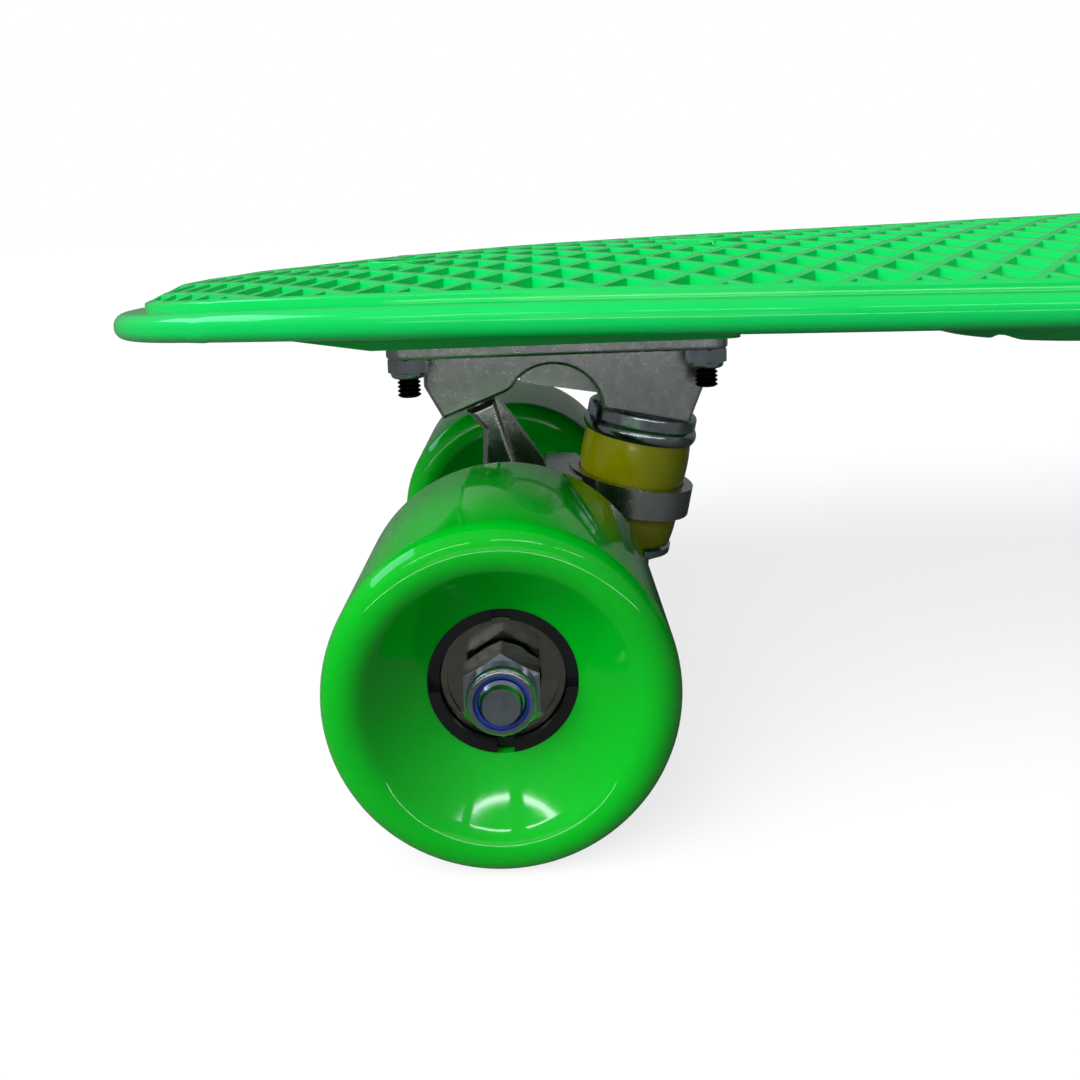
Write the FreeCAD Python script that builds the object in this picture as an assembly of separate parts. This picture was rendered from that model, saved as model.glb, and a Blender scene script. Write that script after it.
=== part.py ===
import FreeCAD
import Part
import math
import os

# Small plastic cruiser board: moulded deck, two die-cast trucks, four soft wheels.
# Frame: +X towards the kicked tail, -Y is the rider's left, +Z up, the floor at Z = 0.
# All sizes are in millimetres.

# ------------------------------------------------------------------ deck
DECK_LENGTH = 559.0
DECK_WIDTH = 150.0
RIM_THICKNESS = 5.6
RIM_ROUND = 2.5
RIM_BAND = 6.5           # flat band between the outer edge and the raised field
FIELD_STEP = 1.6         # height of the raised field over the rim
FIELD_CROWN = 12.0       # how far the field bulges at the middle of the board
CROWN_REACH = 330.0      # from the middle of the board to where that bulge would end
CROWN_FALL = 1.2         # power by which it falls away towards there
FIELD_NOSE_GAP = 9.0     # from the nose's tip to the square end of the field
NOSE_ROUND = 142.0       # length of the elliptical nose
TAIL_TAPER = 195.0       # length over which the tail narrows
TAIL_WIDTH = 104.0
TAIL_CORNER = 34.0
NOSE_DIP = 3.8
MIDDLE_DIP = 1.4
TAIL_RISE = 25.0
KICK_LENGTH = 88.0       # from the tail's end to where it starts to rise
FRONT_SETBACK = 86.5     # nose tip to the front axle
REAR_SETBACK = 112.5     # tail end to the rear axle

PAD_LENGTH = 76.0
PAD_WIDTH = 58.0
PAD_DEPTH = 6.3          # how far a mounting pad hangs below the rim
PAD_WEDGE = 30.0         # length of the ramp from a pad to the board's end
BELLY_START = 81.5       # from each axle to the belly's root
BELLY_WIDTH = 116.0
BELLY_DEPTH = 5.5
BELLY_DRAFT = 9.0
BELLY_CORNER = 22.0
POCKET_ROWS = 4
POCKET_COLUMNS = 8
POCKET_RIB = 2.6
POCKET_MARGIN = 13.0     # from the belly's root to the first pocket
POCKET_CEILING = 1.8     # how far a pocket reaches above the rim's underside

# ------------------------------------------------------------------ trucks
TRUCK_HEIGHT = 53.2      # axle centre to the top of the baseplate
FLANGE_LENGTH = 72.0
FLANGE_WIDTH = 53.0
FLANGE_THICKNESS = 2.6
FLANGE_CORNER = 4.0
FLANGE_MIDDLE = 12.0     # from the axle, towards the middle of the board
BOLT_SPACING_X = 63.5
BOLT_SPACING_Y = 41.3
HOUSING_WIDTH = 28.0
HOUSING_BACK = 4.0       # how far its pivot end widens above the slanted foot
HOUSING_BACK_RISE = 7.5
HOUSING_FRONT = (3.5, 8.6)   # from its kingpin end's outer corner up to its knee
HOUSING_TOE = 1.2        # from that knee on to the plate
FOOT_HALF = 6.9          # half the length of the slanted foot
ARCH_START = (3.9, 3.2)  # from the foot's inner corner to the arch
ARCH_START_SAG = (2.4, 1.25)
ARCH_TOP = (12.8, 6.3)   # from the foot's inner corner to the arch's top
WEB_THICKNESS = 5.0
CAST_EDGE = 0.8
ARCH_ROUND = 2.0         # where the pivot housing's foot runs into the arch

KINGPIN_TILT = 11.8      # degrees from vertical, its foot leaning towards the axle
RING_X = 28.5            # middle of the hanger's ring, from the axle
RING_Z = 14.6
RING_WALL = 2.2          # round the bushings' seats
RING_HEIGHT = 6.6
RING_SEAT_DEPTH = 1.6
RING_ROOM = 1.7          # between the kingpin and the hanger's ring
HOUSING_GAP = 20.0       # along the kingpin, from the ring's middle to the housing
HOUSING_NEAR = 10.9      # from the kingpin to the housing's end on the axle's side
HOUSING_FAR = 8.7        # and on the other side

PIVOT_X = -7.2           # middle of the pivot housing's slanted foot
PIVOT_Z = 37.95
PIVOT_SLANT = 21.6       # degrees between that foot and the horizontal
BALL_RADIUS = 4.6
BALL_DEPTH = 3.2         # the ball's centre inside the housing
STEM_RADIUS = 3.4
CUP_WALL = 1.1
CUP_LENGTH = 9.0
SHOULDER_GAP = 1.7       # between the housing's foot and the hanger's arm
RUNNING_FIT = 0.08       # radial clearance of what turns

HANGER_HALF = 37.5       # half the hanger's width, along the axle
HANGER_END_RADIUS = 7.0
HANGER_MIDDLE_RADIUS = 9.5
ARM_WIDTH = 12.0
ARM_HEEL = 2.8           # from the pivot's axis to the arm's outer corner
ARM_TOE = 4.4            # and to its inner corner
ARM_KNEE = (-5.4, 30.8)  # the bend in the arm's outer face
ARM_ROOT = 7.0           # half the arm's length where it joins the barrel
NECK_TOP = (9.0, 20.6)   # where the brace meets the neck that carries the ring
NECK_INSET = 5.0         # how much narrower the neck is than the ring
BRACE_FOOT = (8.3, 22.4)
HANGER_WEB = 5.0

# ------------------------------------------------------------------ fasteners
KINGPIN_RADIUS = 4.9
KINGPIN_HEAD = 15.0      # across flats
KINGPIN_HEAD_HEIGHT = 5.0
KINGPIN_NUT = 15.0
KINGPIN_NUT_HEIGHT = 9.0
KINGPIN_TAIL = 2.0       # thread that shows past the nut
HOLE_CLEARANCE = 0.15

BOLT_RADIUS = 2.45
BOLT_HEAD_RADIUS = 4.6
BOLT_HEAD_HEIGHT = 2.6
BOLT_NUT = 8.0
BOLT_NUT_HEIGHT = 4.4
BOLT_TAIL = 4.1
RECESS_RADIUS = 5.4
RECESS_DEPTH = 1.0       # from the field to the top of a bolt's head

AXLE_RADIUS = 3.95
AXLE_TAIL = 1.2
AXLE_CHAMFER = 0.8
AXLE_NUT = 12.7
AXLE_NUT_HEIGHT = 7.8
AXLE_THREAD_PITCH = 1.25
BOLT_THREAD_PITCH = 0.9
KINGPIN_THREAD_PITCH = 1.5
COLLAR_SHARE = 0.27      # part of a locking nut's height that is its round collar
COLLAR_RADIUS = 0.93     # that collar against the nut's flats
INSERT_SHARE = 0.4       # part of the collar's wall that its nylon ring takes
INSERT_DEPTH = 0.7       # from the collar's rim down to the ring

# ------------------------------------------------------------------ bushings and their washers
BUSHING_RADIUS = 12.5
BUSHING_SEAT_FIT = 0.3   # between a bushing and its seat in the ring
BUSHING_SHOULDER = 0.6   # how much the upper one narrows inside its washer
BUSHING_TAPER = 0.6      # how much the lower one narrows to its foot
BUSHING_ROOM = 1.5       # between the lower bushing and the hanger's neck
BUSHING_LENGTH = 9.5     # the lower, conical one
CUP_PLATE = 1.6
CUP_STEP_HEIGHT = 3.4
CUP_RIM_HEIGHT = 3.4
CUP_RIM_ROLL = 1.0       # how far the cup's rolled rim stands out from the bushing
CUP_FIT = 0.15
FOOT_WASHER_LIP = 0.4    # how far the foot washer stands out from the bushing
FOOT_WASHER_HEIGHT = 4.4
FOOT_WASHER_SKIRT = 2.0  # its straight part, before it narrows to the nut
FOOT_WASHER_TAPER = 3.7

# ------------------------------------------------------------------ wheels
WHEEL_RADIUS = 30.0
WHEEL_WIDTH = 45.0
LIP_RADIUS = 4.5
CORE_WALL = 2.0          # round the bearings
CORE_LENGTH = 27.0
CORE_SHOULDER = 1.4      # how far the shoulder between the bearings reaches in
NOTCH_WIDTH = 3.0
NOTCH_DEPTH = 1.6
NOTCH_COUNT = 4

BEARING_RADIUS = 11.0
BEARING_WIDTH = 7.0
BEARING_GAP = 10.0       # between a wheel's two bearings
INNER_RACE_WALL = 2.15
OUTER_RACE_WALL = 1.8
BALL_BEARING_RADIUS = 1.95
BALL_BEARING_COUNT = 7
GROOVE_CLEARANCE = 0.08
RACE_BEVEL = 0.25
SHIELD_GAP = 0.5         # between a shield and the inner ring
SHIELD_SEAT = 0.5        # how far a shield reaches into the outer ring
SHIELD_THICKNESS = 0.4
SHIELD_INSET = 0.5
SPACER_WALL = 1.65
SPEED_WASHER_WALL = 1.95
SPEED_WASHER = 1.0

# ------------------------------------------------------------------ places that follow
NOSE_X = -DECK_LENGTH / 2
TAIL_X = DECK_LENGTH / 2
FRONT_X = NOSE_X + FRONT_SETBACK
REAR_X = TAIL_X - REAR_SETBACK
AXLE_Z = WHEEL_RADIUS
MOUNT_Z = AXLE_Z + TRUCK_HEIGHT
RIM_BOTTOM = MOUNT_Z + PAD_DEPTH
FIELD_HALF = DECK_WIDTH / 2 - RIM_BAND
WHEEL_Y = HANGER_HALF + SPEED_WASHER + BEARING_WIDTH + BEARING_GAP / 2
NUT_Y = WHEEL_Y + BEARING_GAP / 2 + BEARING_WIDTH + SPEED_WASHER
SEAT = RING_HEIGHT / 2 - RING_SEAT_DEPTH
RING_RADIUS = BUSHING_RADIUS + BUSHING_SEAT_FIT + RING_WALL
BUSHING_NECK_RADIUS = BUSHING_RADIUS - BUSHING_SHOULDER
BUSHING_FOOT_RADIUS = BUSHING_RADIUS - BUSHING_TAPER
FOOT_WASHER_RADIUS = BUSHING_FOOT_RADIUS + FOOT_WASHER_LIP
CORE_RADIUS = BEARING_RADIUS + CORE_WALL
RACE_INNER = AXLE_RADIUS + INNER_RACE_WALL
RACE_OUTER = BEARING_RADIUS - OUTER_RACE_WALL
SHIELD_RADIUS = RACE_OUTER + SHIELD_SEAT
BALL_PITCH = (RACE_INNER + RACE_OUTER) / 2
FAR = 400.0              # longer than any cut needs

SIDES = {"left": -1, "right": 1}
ENDS = {
    "front": FreeCAD.Placement(FreeCAD.Vector(FRONT_X, 0, AXLE_Z), FreeCAD.Rotation()),
    "rear": FreeCAD.Placement(
        FreeCAD.Vector(REAR_X, 0, AXLE_Z), FreeCAD.Rotation(FreeCAD.Vector(0, 0, 1), 180)
    ),
}


def vec(x, y, z):
    return FreeCAD.Vector(x, y, z)


def leaning(degrees):
    """A unit vector in the XZ plane, upright and turned towards +X by the angle."""
    return vec(math.sin(math.radians(degrees)), 0, math.cos(math.radians(degrees)))


KINGPIN_AXIS = leaning(KINGPIN_TILT)
RING_CENTRE = vec(RING_X, 0, RING_Z)
PIVOT_AXIS = leaning(-PIVOT_SLANT)
PIVOT_FOOT = vec(PIVOT_X, 0, PIVOT_Z)
BALL_CENTRE = PIVOT_FOOT + PIVOT_AXIS * BALL_DEPTH


# ------------------------------------------------------------------ tools of the trade
def outline(start, *steps):
    """A closed face in the XZ plane. A step is a corner (x, z) or an arc ((through), (end))."""
    edges, here = [], vec(start[0], 0, start[1])
    for step in steps + (start,):
        if isinstance(step[0], tuple):
            through, there = (vec(p[0], 0, p[1]) for p in step)
            edges.append(Part.Arc(here, through, there).toShape())
        else:
            there = vec(step[0], 0, step[1])
            if (there - here).Length < 1e-6:
                continue
            edges.append(Part.LineSegment(here, there).toShape())
        here = there
    return Part.Face(Part.Wire(edges))


def slab(face, width):
    """An XZ face made into a plate, centred on the XZ plane."""
    moved = face.copy()
    moved.translate(vec(0, -width / 2, 0))
    return moved.extrude(vec(0, width, 0))


def lathe(start, *steps):
    """The outline, as (radius, height), turned about the Z axis."""
    return outline(start, *steps).revolve(vec(0, 0, 0), vec(0, 0, 1), 360)


def along(shape, base, direction):
    """A copy of the shape with its Z axis laid along the direction, from the base point."""
    turned = shape.copy()
    turned.Placement = FreeCAD.Placement(base, FreeCAD.Rotation(vec(0, 0, 1), direction))
    return turned


def placed(shape, place):
    """A copy of a shape built in a truck's own frame, moved to that truck."""
    moved = shape.copy()
    moved.Placement = place.multiply(shape.Placement)
    return moved


def on_kingpin(shape):
    return along(shape, RING_CENTRE, KINGPIN_AXIS)


def rod(radius, bottom, top):
    return Part.makeCylinder(radius, top - bottom, vec(0, 0, bottom))


def tube(outer, inner, bottom, top):
    return rod(outer, bottom, top).cut(rod(inner, bottom, top))


def threaded_rod(radius, bottom, top, thread, pitch):
    """A rod whose lowest stretch carries a thread, drawn as close rings."""
    steps, height = [(0, bottom)], bottom
    depth = 0.6 * pitch
    steps.append((radius - depth, bottom))
    while height + pitch < bottom + thread:
        steps.append((radius, height + 0.4 * pitch))
        steps.append((radius, height + 0.6 * pitch))
        steps.append((radius - depth, height + pitch))
        height += pitch
    steps += [(radius, height + 0.6 * pitch), (radius, top), (0, top)]
    return lathe(*steps)


def hexagon(across_flats, bottom, top):
    corner = across_flats / math.sqrt(3)
    turns = [math.radians(60 * k + 30) for k in range(7)]
    points = [vec(corner * math.cos(turn), corner * math.sin(turn), bottom) for turn in turns]
    return Part.Face(Part.makePolygon(points)).extrude(vec(0, 0, top - bottom))


def locking_nut(across_flats, hole_radius, height):
    """A hexagon on z = 0 with bevelled corners and a round collar, and the nylon ring in the collar."""
    corner = across_flats / math.sqrt(3)
    bevel = corner - across_flats / 2
    collar = height * COLLAR_SHARE
    flats = height - collar
    neck = across_flats / 2 * COLLAR_RADIUS
    body = hexagon(across_flats, 0, flats).common(
        lathe((0, 0), (corner - bevel, 0), (corner, bevel * 0.6), (corner, flats - bevel * 0.6),
              (corner - bevel, flats), (0, flats))
    )
    crown = lathe(
        (0, flats), (neck, flats), (neck, height - 0.9),
        ((neck - 0.25, height - 0.25), (neck - 0.9, height)), (0, height),
    )
    ring_radius = hole_radius + (neck - hole_radius) * INSERT_SHARE
    seat = tube(ring_radius, hole_radius, height - collar, height - INSERT_DEPTH)
    nut = body.fuse(crown).removeSplitter().cut(rod(hole_radius, -1, height + 1)).cut(
        rod(ring_radius, height - collar, height + 1)
    )
    return nut, seat


def soften(shape, radius, chosen):
    """Rounds the edges that the test picks."""
    edges = [edge for edge in shape.Edges if chosen(edge)]
    return shape.makeFillet(radius, edges) if edges else shape


def is_upright(edge):
    first, last = edge.Vertexes[0].Point, edge.Vertexes[-1].Point
    return math.hypot(first.x - last.x, first.y - last.y) < 1e-3 and abs(first.z - last.z) > 1e-3


# ------------------------------------------------------------------ deck
def rim_line():
    """The underside's line along the board: dipped nose, level trucks, low middle, raised tail."""
    over = 6.0
    stations = [
        (NOSE_X - over, -NOSE_DIP - 0.5),
        (NOSE_X + FRONT_SETBACK * 0.45, -NOSE_DIP * 0.33),
        (FRONT_X, 0),
        ((FRONT_X * 3 + REAR_X) / 4, -MIDDLE_DIP * 0.7),
        ((FRONT_X + REAR_X) / 2, -MIDDLE_DIP),
        ((FRONT_X + REAR_X * 3) / 4, -MIDDLE_DIP * 0.7),
        (REAR_X, 0),
        (TAIL_X - KICK_LENGTH, TAIL_RISE * 0.045),
        (TAIL_X - KICK_LENGTH * 0.5, TAIL_RISE * 0.38),
        (TAIL_X + over, TAIL_RISE * 1.1),
    ]
    curve = Part.BSplineCurve()
    curve.interpolate([vec(x, 0, RIM_BOTTOM + rise) for x, rise in stations])
    return curve


RIM_LINE = rim_line()


def rim_height(x):
    """Height of the rim's underside at x, found by halving the line's parameter range."""
    low, high = RIM_LINE.FirstParameter, RIM_LINE.LastParameter
    for _ in range(40):
        middle = (low + high) / 2
        if RIM_LINE.value(middle).x < x:
            low = middle
        else:
            high = middle
    return RIM_LINE.value(low).z


def plan_prism(inset, bottom, top):
    """The board's plan shape, drawn in by the inset, as a tall block."""
    half = DECK_WIDTH / 2
    taper_x = TAIL_X - TAIL_TAPER
    drop = half - TAIL_WIDTH / 2
    sweep = (TAIL_TAPER ** 2 + drop ** 2) / (2 * drop)
    nose_x = NOSE_X + NOSE_ROUND
    side = half - inset
    end_x = TAIL_X - inset
    reach = sweep - inset

    def tail_y(x):
        return half - sweep + math.sqrt(reach ** 2 - (x - taper_x) ** 2)

    nose = Part.Ellipse(vec(nose_x, 0, bottom), NOSE_ROUND - inset, side)
    mid_x = (taper_x + end_x) / 2
    right = Part.Arc(
        vec(taper_x, side, bottom), vec(mid_x, tail_y(mid_x), bottom), vec(end_x, tail_y(end_x), bottom)
    )
    left = Part.Arc(
        vec(end_x, -tail_y(end_x), bottom), vec(mid_x, -tail_y(mid_x), bottom), vec(taper_x, -side, bottom)
    )
    edges = [
        Part.LineSegment(vec(nose_x, side, bottom), vec(taper_x, side, bottom)).toShape(),
        right.toShape(),
        Part.LineSegment(vec(end_x, tail_y(end_x), bottom), vec(end_x, -tail_y(end_x), bottom)).toShape(),
        left.toShape(),
        Part.LineSegment(vec(taper_x, -side, bottom), vec(nose_x, -side, bottom)).toShape(),
        nose.toShape(math.pi / 2, 3 * math.pi / 2),
    ]
    block = Part.Face(Part.Wire(Part.__sortEdges__(edges))).extrude(vec(0, 0, top - bottom))
    return soften(
        block, TAIL_CORNER - inset, lambda edge: is_upright(edge) and edge.Vertexes[0].X > end_x - 1
    )


def plate_block(under_drop, over_rise):
    """A wide plate that follows the rim's line, from the drop below it to the rise above it."""
    under, over = RIM_LINE.toShape(), RIM_LINE.toShape()
    under.translate(vec(0, 0, -under_drop))
    over.translate(vec(0, 0, over_rise))
    ends = [
        Part.LineSegment(under.Vertexes[k].Point, over.Vertexes[k].Point).toShape() for k in (0, 1)
    ]
    profile = Part.Face(Part.Wire(Part.__sortEdges__([under, ends[1], over, ends[0]])))
    return slab(profile, DECK_WIDTH * 2)


def rim_slab():
    """The board's even-thickness plate with its edge rounded over."""
    plate = plate_block(0, RIM_THICKNESS).common(plan_prism(0, 0, FAR))
    return soften(plate, RIM_ROUND, lambda edge: not is_upright(edge))


def crown_at(x):
    """How far the field's middle stands over its edges: most between the trucks, least at the ends."""
    return FIELD_CROWN * (1 - (abs(x - (FRONT_X + REAR_X) / 2) / CROWN_REACH) ** CROWN_FALL)


def raised_field():
    """The slightly crowned field that carries the non-slip grid."""
    half = DECK_WIDTH / 2
    edge_fall = (half / FIELD_HALF) ** 2 - 1
    over = 4.0
    count = 22
    sections = []
    for k in range(count + 1):
        x = NOSE_X - over + (DECK_LENGTH + 2 * over) * k / count
        base = rim_height(x) + RIM_THICKNESS / 2
        top = rim_height(x) + RIM_THICKNESS + FIELD_STEP
        edge = top - crown_at(x) * edge_fall
        corners = [vec(x, -half, edge), vec(x, -half, base), vec(x, half, base), vec(x, half, edge)]
        sides = [Part.LineSegment(a, b).toShape() for a, b in zip(corners, corners[1:])]
        arch = Part.Arc(corners[3], vec(x, 0, top + crown_at(x)), corners[0]).toShape()
        sections.append(Part.Wire(sides + [arch]))
    block = Part.makeLoft(sections, True, False)
    nose_cut = Part.makeBox(FAR, FAR, FAR, vec(NOSE_X + FIELD_NOSE_GAP - FAR, -FAR / 2, 0))
    return block.common(plan_prism(RIM_BAND, 0, FAR)).cut(nose_cut)


def mounting_pad(place):
    """The pad over one truck, with its ramp towards the board's end."""
    over = TRUCK_HEIGHT + FAR / 4
    inner = FLANGE_MIDDLE + PAD_LENGTH / 2
    outer = FLANGE_MIDDLE - PAD_LENGTH / 2
    tip = outer - PAD_WEDGE
    ramp_end = rim_height(place.multVec(vec(tip, 0, 0)).x) - AXLE_Z
    face = outline(
        (outer, TRUCK_HEIGHT), (inner, TRUCK_HEIGHT), (inner + 2, over), (tip, over), (tip, ramp_end),
    )
    return placed(slab(face, PAD_WIDTH), place).common(plate_block(PAD_DEPTH * 3, RIM_THICKNESS / 2))


def rounded_rectangle(x0, x1, half_y, radius, z):
    """A closed wire of four sides and four quarter rounds, at the height z."""
    cut = radius * (1 - math.sqrt(0.5))
    edges = []
    corners = [(x1, half_y, -1, -1), (x0, half_y, 1, -1), (x0, -half_y, 1, 1), (x1, -half_y, -1, 1)]
    marks = []
    for x, y, sx, sy in corners:
        lead_x, lead_y = vec(x + sx * radius, y, z), vec(x, y + sy * radius, z)
        through = vec(x + sx * cut, y + sy * cut, z)
        first, last = (lead_y, lead_x) if sx * sy > 0 else (lead_x, lead_y)
        marks.append((first, through, last))
    for k, (first, through, last) in enumerate(marks):
        edges.append(Part.Arc(first, through, last).toShape())
        edges.append(Part.LineSegment(last, marks[(k + 1) % 4][0]).toShape())
    return Part.Wire(edges)


def belly():
    """The drafted keel between the trucks, with its underside pocketed into a grid of ribs."""
    x0, x1 = FRONT_X + BELLY_START, REAR_X - BELLY_START
    root, foot = RIM_BOTTOM + RIM_THICKNESS / 2, RIM_BOTTOM - BELLY_DEPTH
    keel = Part.makeLoft(
        [
            rounded_rectangle(x0, x1, BELLY_WIDTH / 2, BELLY_CORNER, root),
            rounded_rectangle(
                x0 + BELLY_DRAFT, x1 - BELLY_DRAFT, BELLY_WIDTH / 2 - BELLY_DRAFT,
                BELLY_CORNER - BELLY_DRAFT, foot,
            ),
        ],
        True, True,
    )
    return keel


def pockets():
    """The boxes that leave the keel's ribs standing."""
    x0 = FRONT_X + BELLY_START + POCKET_MARGIN
    x1 = REAR_X - BELLY_START - POCKET_MARGIN
    y0 = POCKET_MARGIN - BELLY_WIDTH / 2
    foot, ceiling = RIM_BOTTOM - BELLY_DEPTH - 1, RIM_BOTTOM + POCKET_CEILING
    size_x = (x1 - x0 - POCKET_RIB * (POCKET_COLUMNS - 1)) / POCKET_COLUMNS
    size_y = (-2 * y0 - POCKET_RIB * (POCKET_ROWS - 1)) / POCKET_ROWS
    boxes = []
    for column in range(POCKET_COLUMNS):
        for row in range(POCKET_ROWS):
            corner = vec(x0 + column * (size_x + POCKET_RIB), y0 + row * (size_y + POCKET_RIB), foot)
            boxes.append(Part.makeBox(size_x, size_y, ceiling - foot, corner))
    return Part.makeCompound(boxes)


def bolt_places():
    """The four bolts' places in a truck's own frame."""
    return [
        (FLANGE_MIDDLE + sx * BOLT_SPACING_X / 2, sy * BOLT_SPACING_Y / 2)
        for sx in (-1, 1)
        for sy in (-1, 1)
    ]


def bolt_top():
    """How high the screw heads reach: just under the field where it is lowest over a truck."""
    x = FRONT_X + FLANGE_MIDDLE - BOLT_SPACING_X / 2
    crown = crown_at(x) * (1 - (BOLT_SPACING_Y / 2 / FIELD_HALF) ** 2)
    return rim_height(x) + RIM_THICKNESS + FIELD_STEP + crown - AXLE_Z - RECESS_DEPTH


def deck():
    body = rim_slab().fuse([raised_field(), belly()])
    for place in ENDS.values():
        body = body.fuse(mounting_pad(place))
    body = body.cut(pockets())
    for place in ENDS.values():
        for x, y in bolt_places():
            hole = Part.makeCylinder(BOLT_RADIUS + HOLE_CLEARANCE, FAR, vec(x, y, 0))
            recess = Part.makeCylinder(RECESS_RADIUS, FAR, vec(x, y, bolt_top() - BOLT_HEAD_HEIGHT))
            for tool in (hole, recess):
                body = body.cut(placed(tool, place))
    return body


# ------------------------------------------------------------------ trucks
def kingpin_point(distance, aside):
    """(x, z) of a point at a distance up the kingpin from the ring, and aside from it towards +X."""
    across = vec(KINGPIN_AXIS.z, 0, -KINGPIN_AXIS.x)
    point = RING_CENTRE + KINGPIN_AXIS * distance + across * aside
    return point.x, point.z


def pivot_point(distance, aside):
    """(x, z) of a point at a distance into the pivot housing, and aside from its middle."""
    across = vec(PIVOT_AXIS.z, 0, -PIVOT_AXIS.x)
    point = PIVOT_FOOT + PIVOT_AXIS * distance + across * aside
    return point.x, point.z


def shifted(point, step):
    """The (x, z) point a step away from another."""
    return point[0] + step[0], point[1] + step[1]


def baseplate():
    """The mounting plate with its pivot housing, arch, middle web and kingpin housing."""
    under = TRUCK_HEIGHT - FLANGE_THICKNESS
    flange = Part.makeBox(
        FLANGE_LENGTH, FLANGE_WIDTH, FLANGE_THICKNESS,
        vec(FLANGE_MIDDLE - FLANGE_LENGTH / 2, -FLANGE_WIDTH / 2, under),
    )
    flange = soften(flange, FLANGE_CORNER, is_upright)
    flange = flange.makeFillet(CAST_EDGE, [e for e in flange.Edges if abs(e.CenterOfMass.z - under) < 0.01])
    heel = pivot_point(0, -FOOT_HALF)
    toe = pivot_point(0, FOOT_HALF)
    near = kingpin_point(HOUSING_GAP, -HOUSING_NEAR)
    far = kingpin_point(HOUSING_GAP, HOUSING_FAR)
    bend = shifted(toe, ARCH_START)
    back = heel[0] - HOUSING_BACK
    knee = shifted(far, HOUSING_FRONT)
    sides = outline(
        (back, under + 1), (back, heel[1] + HOUSING_BACK_RISE), heel, toe,
        (shifted(toe, ARCH_START_SAG), bend), (shifted(toe, ARCH_TOP), near),
        far, knee, (knee[0] + HOUSING_TOE, under + 1),
    )
    housing = soften(
        slab(sides, HOUSING_WIDTH), ARCH_ROUND,
        lambda e: abs(e.CenterOfMass.x - bend[0]) < 0.1 and abs(e.CenterOfMass.y) < 0.1,
    )
    housing = soften(
        housing, CAST_EDGE,
        lambda e: abs(abs(e.CenterOfMass.y) - HOUSING_WIDTH / 2) < 0.01 and e.CenterOfMass.z < under - 0.5,
    )
    web = slab(
        outline((toe[0], under), (toe[0] + 4.6, toe[1] + 0.7), (near[0] + 1, near[1] + 1.5),
                (near[0] + 1, under)),
        WEB_THICKNESS,
    )
    bore = rod(KINGPIN_RADIUS + HOLE_CLEARANCE, 0, 60)
    head_seat = kingpin_head_seat()
    socket = rod(KINGPIN_HEAD / math.sqrt(3) + 0.4, head_seat, 60)
    cup = along(rod(BALL_RADIUS + RUNNING_FIT + CUP_WALL, -5, CUP_LENGTH), PIVOT_FOOT, PIVOT_AXIS)
    body = flange.fuse([housing, web])
    for tool in (on_kingpin(bore), on_kingpin(socket), cup):
        body = body.cut(tool)
    for x, y in bolt_places():
        body = body.cut(Part.makeCylinder(BOLT_RADIUS + HOLE_CLEARANCE, FAR, vec(x, y, 0)))
    return body


def kingpin_head_seat():
    """How far up the kingpin its head starts, so that the head stays below the plate's top."""
    corner = KINGPIN_HEAD / math.sqrt(3)
    top = (TRUCK_HEIGHT - RING_Z - corner * KINGPIN_AXIS.x) / KINGPIN_AXIS.z
    return top - KINGPIN_HEAD_HEIGHT - 0.3


def pivot_cup():
    inner = BALL_RADIUS + RUNNING_FIT
    shell = rod(inner + CUP_WALL, 0.3, CUP_LENGTH)
    hollow = rod(inner, 0, BALL_DEPTH).fuse(Part.makeSphere(inner, vec(0, 0, BALL_DEPTH)))
    return along(shell.cut(hollow), PIVOT_FOOT, PIVOT_AXIS)


def kingpin():
    seat = kingpin_head_seat()
    foot = -(SEAT + BUSHING_LENGTH + FOOT_WASHER_HEIGHT + KINGPIN_NUT_HEIGHT + KINGPIN_TAIL)
    shank = threaded_rod(
        KINGPIN_RADIUS, foot, seat, KINGPIN_NUT_HEIGHT + KINGPIN_TAIL, KINGPIN_THREAD_PITCH
    )
    head = hexagon(KINGPIN_HEAD, seat, seat + KINGPIN_HEAD_HEIGHT)
    return on_kingpin(shank.fuse(head))


def kingpin_nut():
    """The nut and its nylon ring, below the foot washer."""
    nut, ring = locking_nut(KINGPIN_NUT, KINGPIN_RADIUS, KINGPIN_NUT_HEIGHT)
    top = SEAT + BUSHING_LENGTH + FOOT_WASHER_HEIGHT
    place = RING_CENTRE - KINGPIN_AXIS * top
    return along(nut, place, -KINGPIN_AXIS), along(ring, place, -KINGPIN_AXIS)


def board_side_bushing():
    hole = KINGPIN_RADIUS + HOLE_CLEARANCE
    shoulder = HOUSING_GAP - CUP_PLATE - CUP_STEP_HEIGHT + 1.4
    top = HOUSING_GAP - CUP_PLATE
    return on_kingpin(lathe(
        (hole, SEAT), (BUSHING_RADIUS - 0.6, SEAT), (BUSHING_RADIUS, SEAT + 0.6),
        (BUSHING_RADIUS, shoulder - 0.9), (BUSHING_NECK_RADIUS, shoulder), (BUSHING_NECK_RADIUS, top),
        (hole, top),
    ))


def board_side_washer():
    """A stepped cup whose rolled rim hangs round the bushing's shoulder."""
    hole = KINGPIN_RADIUS + HOLE_CLEARANCE
    top = HOUSING_GAP
    step = top - CUP_STEP_HEIGHT
    foot = step - CUP_RIM_HEIGHT
    neck = BUSHING_NECK_RADIUS + CUP_FIT
    skirt = BUSHING_RADIUS + CUP_FIT
    rim = BUSHING_RADIUS + CUP_RIM_ROLL
    return on_kingpin(lathe(
        (hole, top), (neck - 0.2, top), ((neck + 0.6, top - 0.4), (neck + 0.9, top - 1.2)),
        (neck + 0.9, step), ((rim, (step + foot) / 2), (skirt + 0.15, foot)),
        (skirt, foot), (skirt, step - 0.8), (neck, step), (neck, top - CUP_PLATE),
        (hole, top - CUP_PLATE),
    ))


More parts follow.
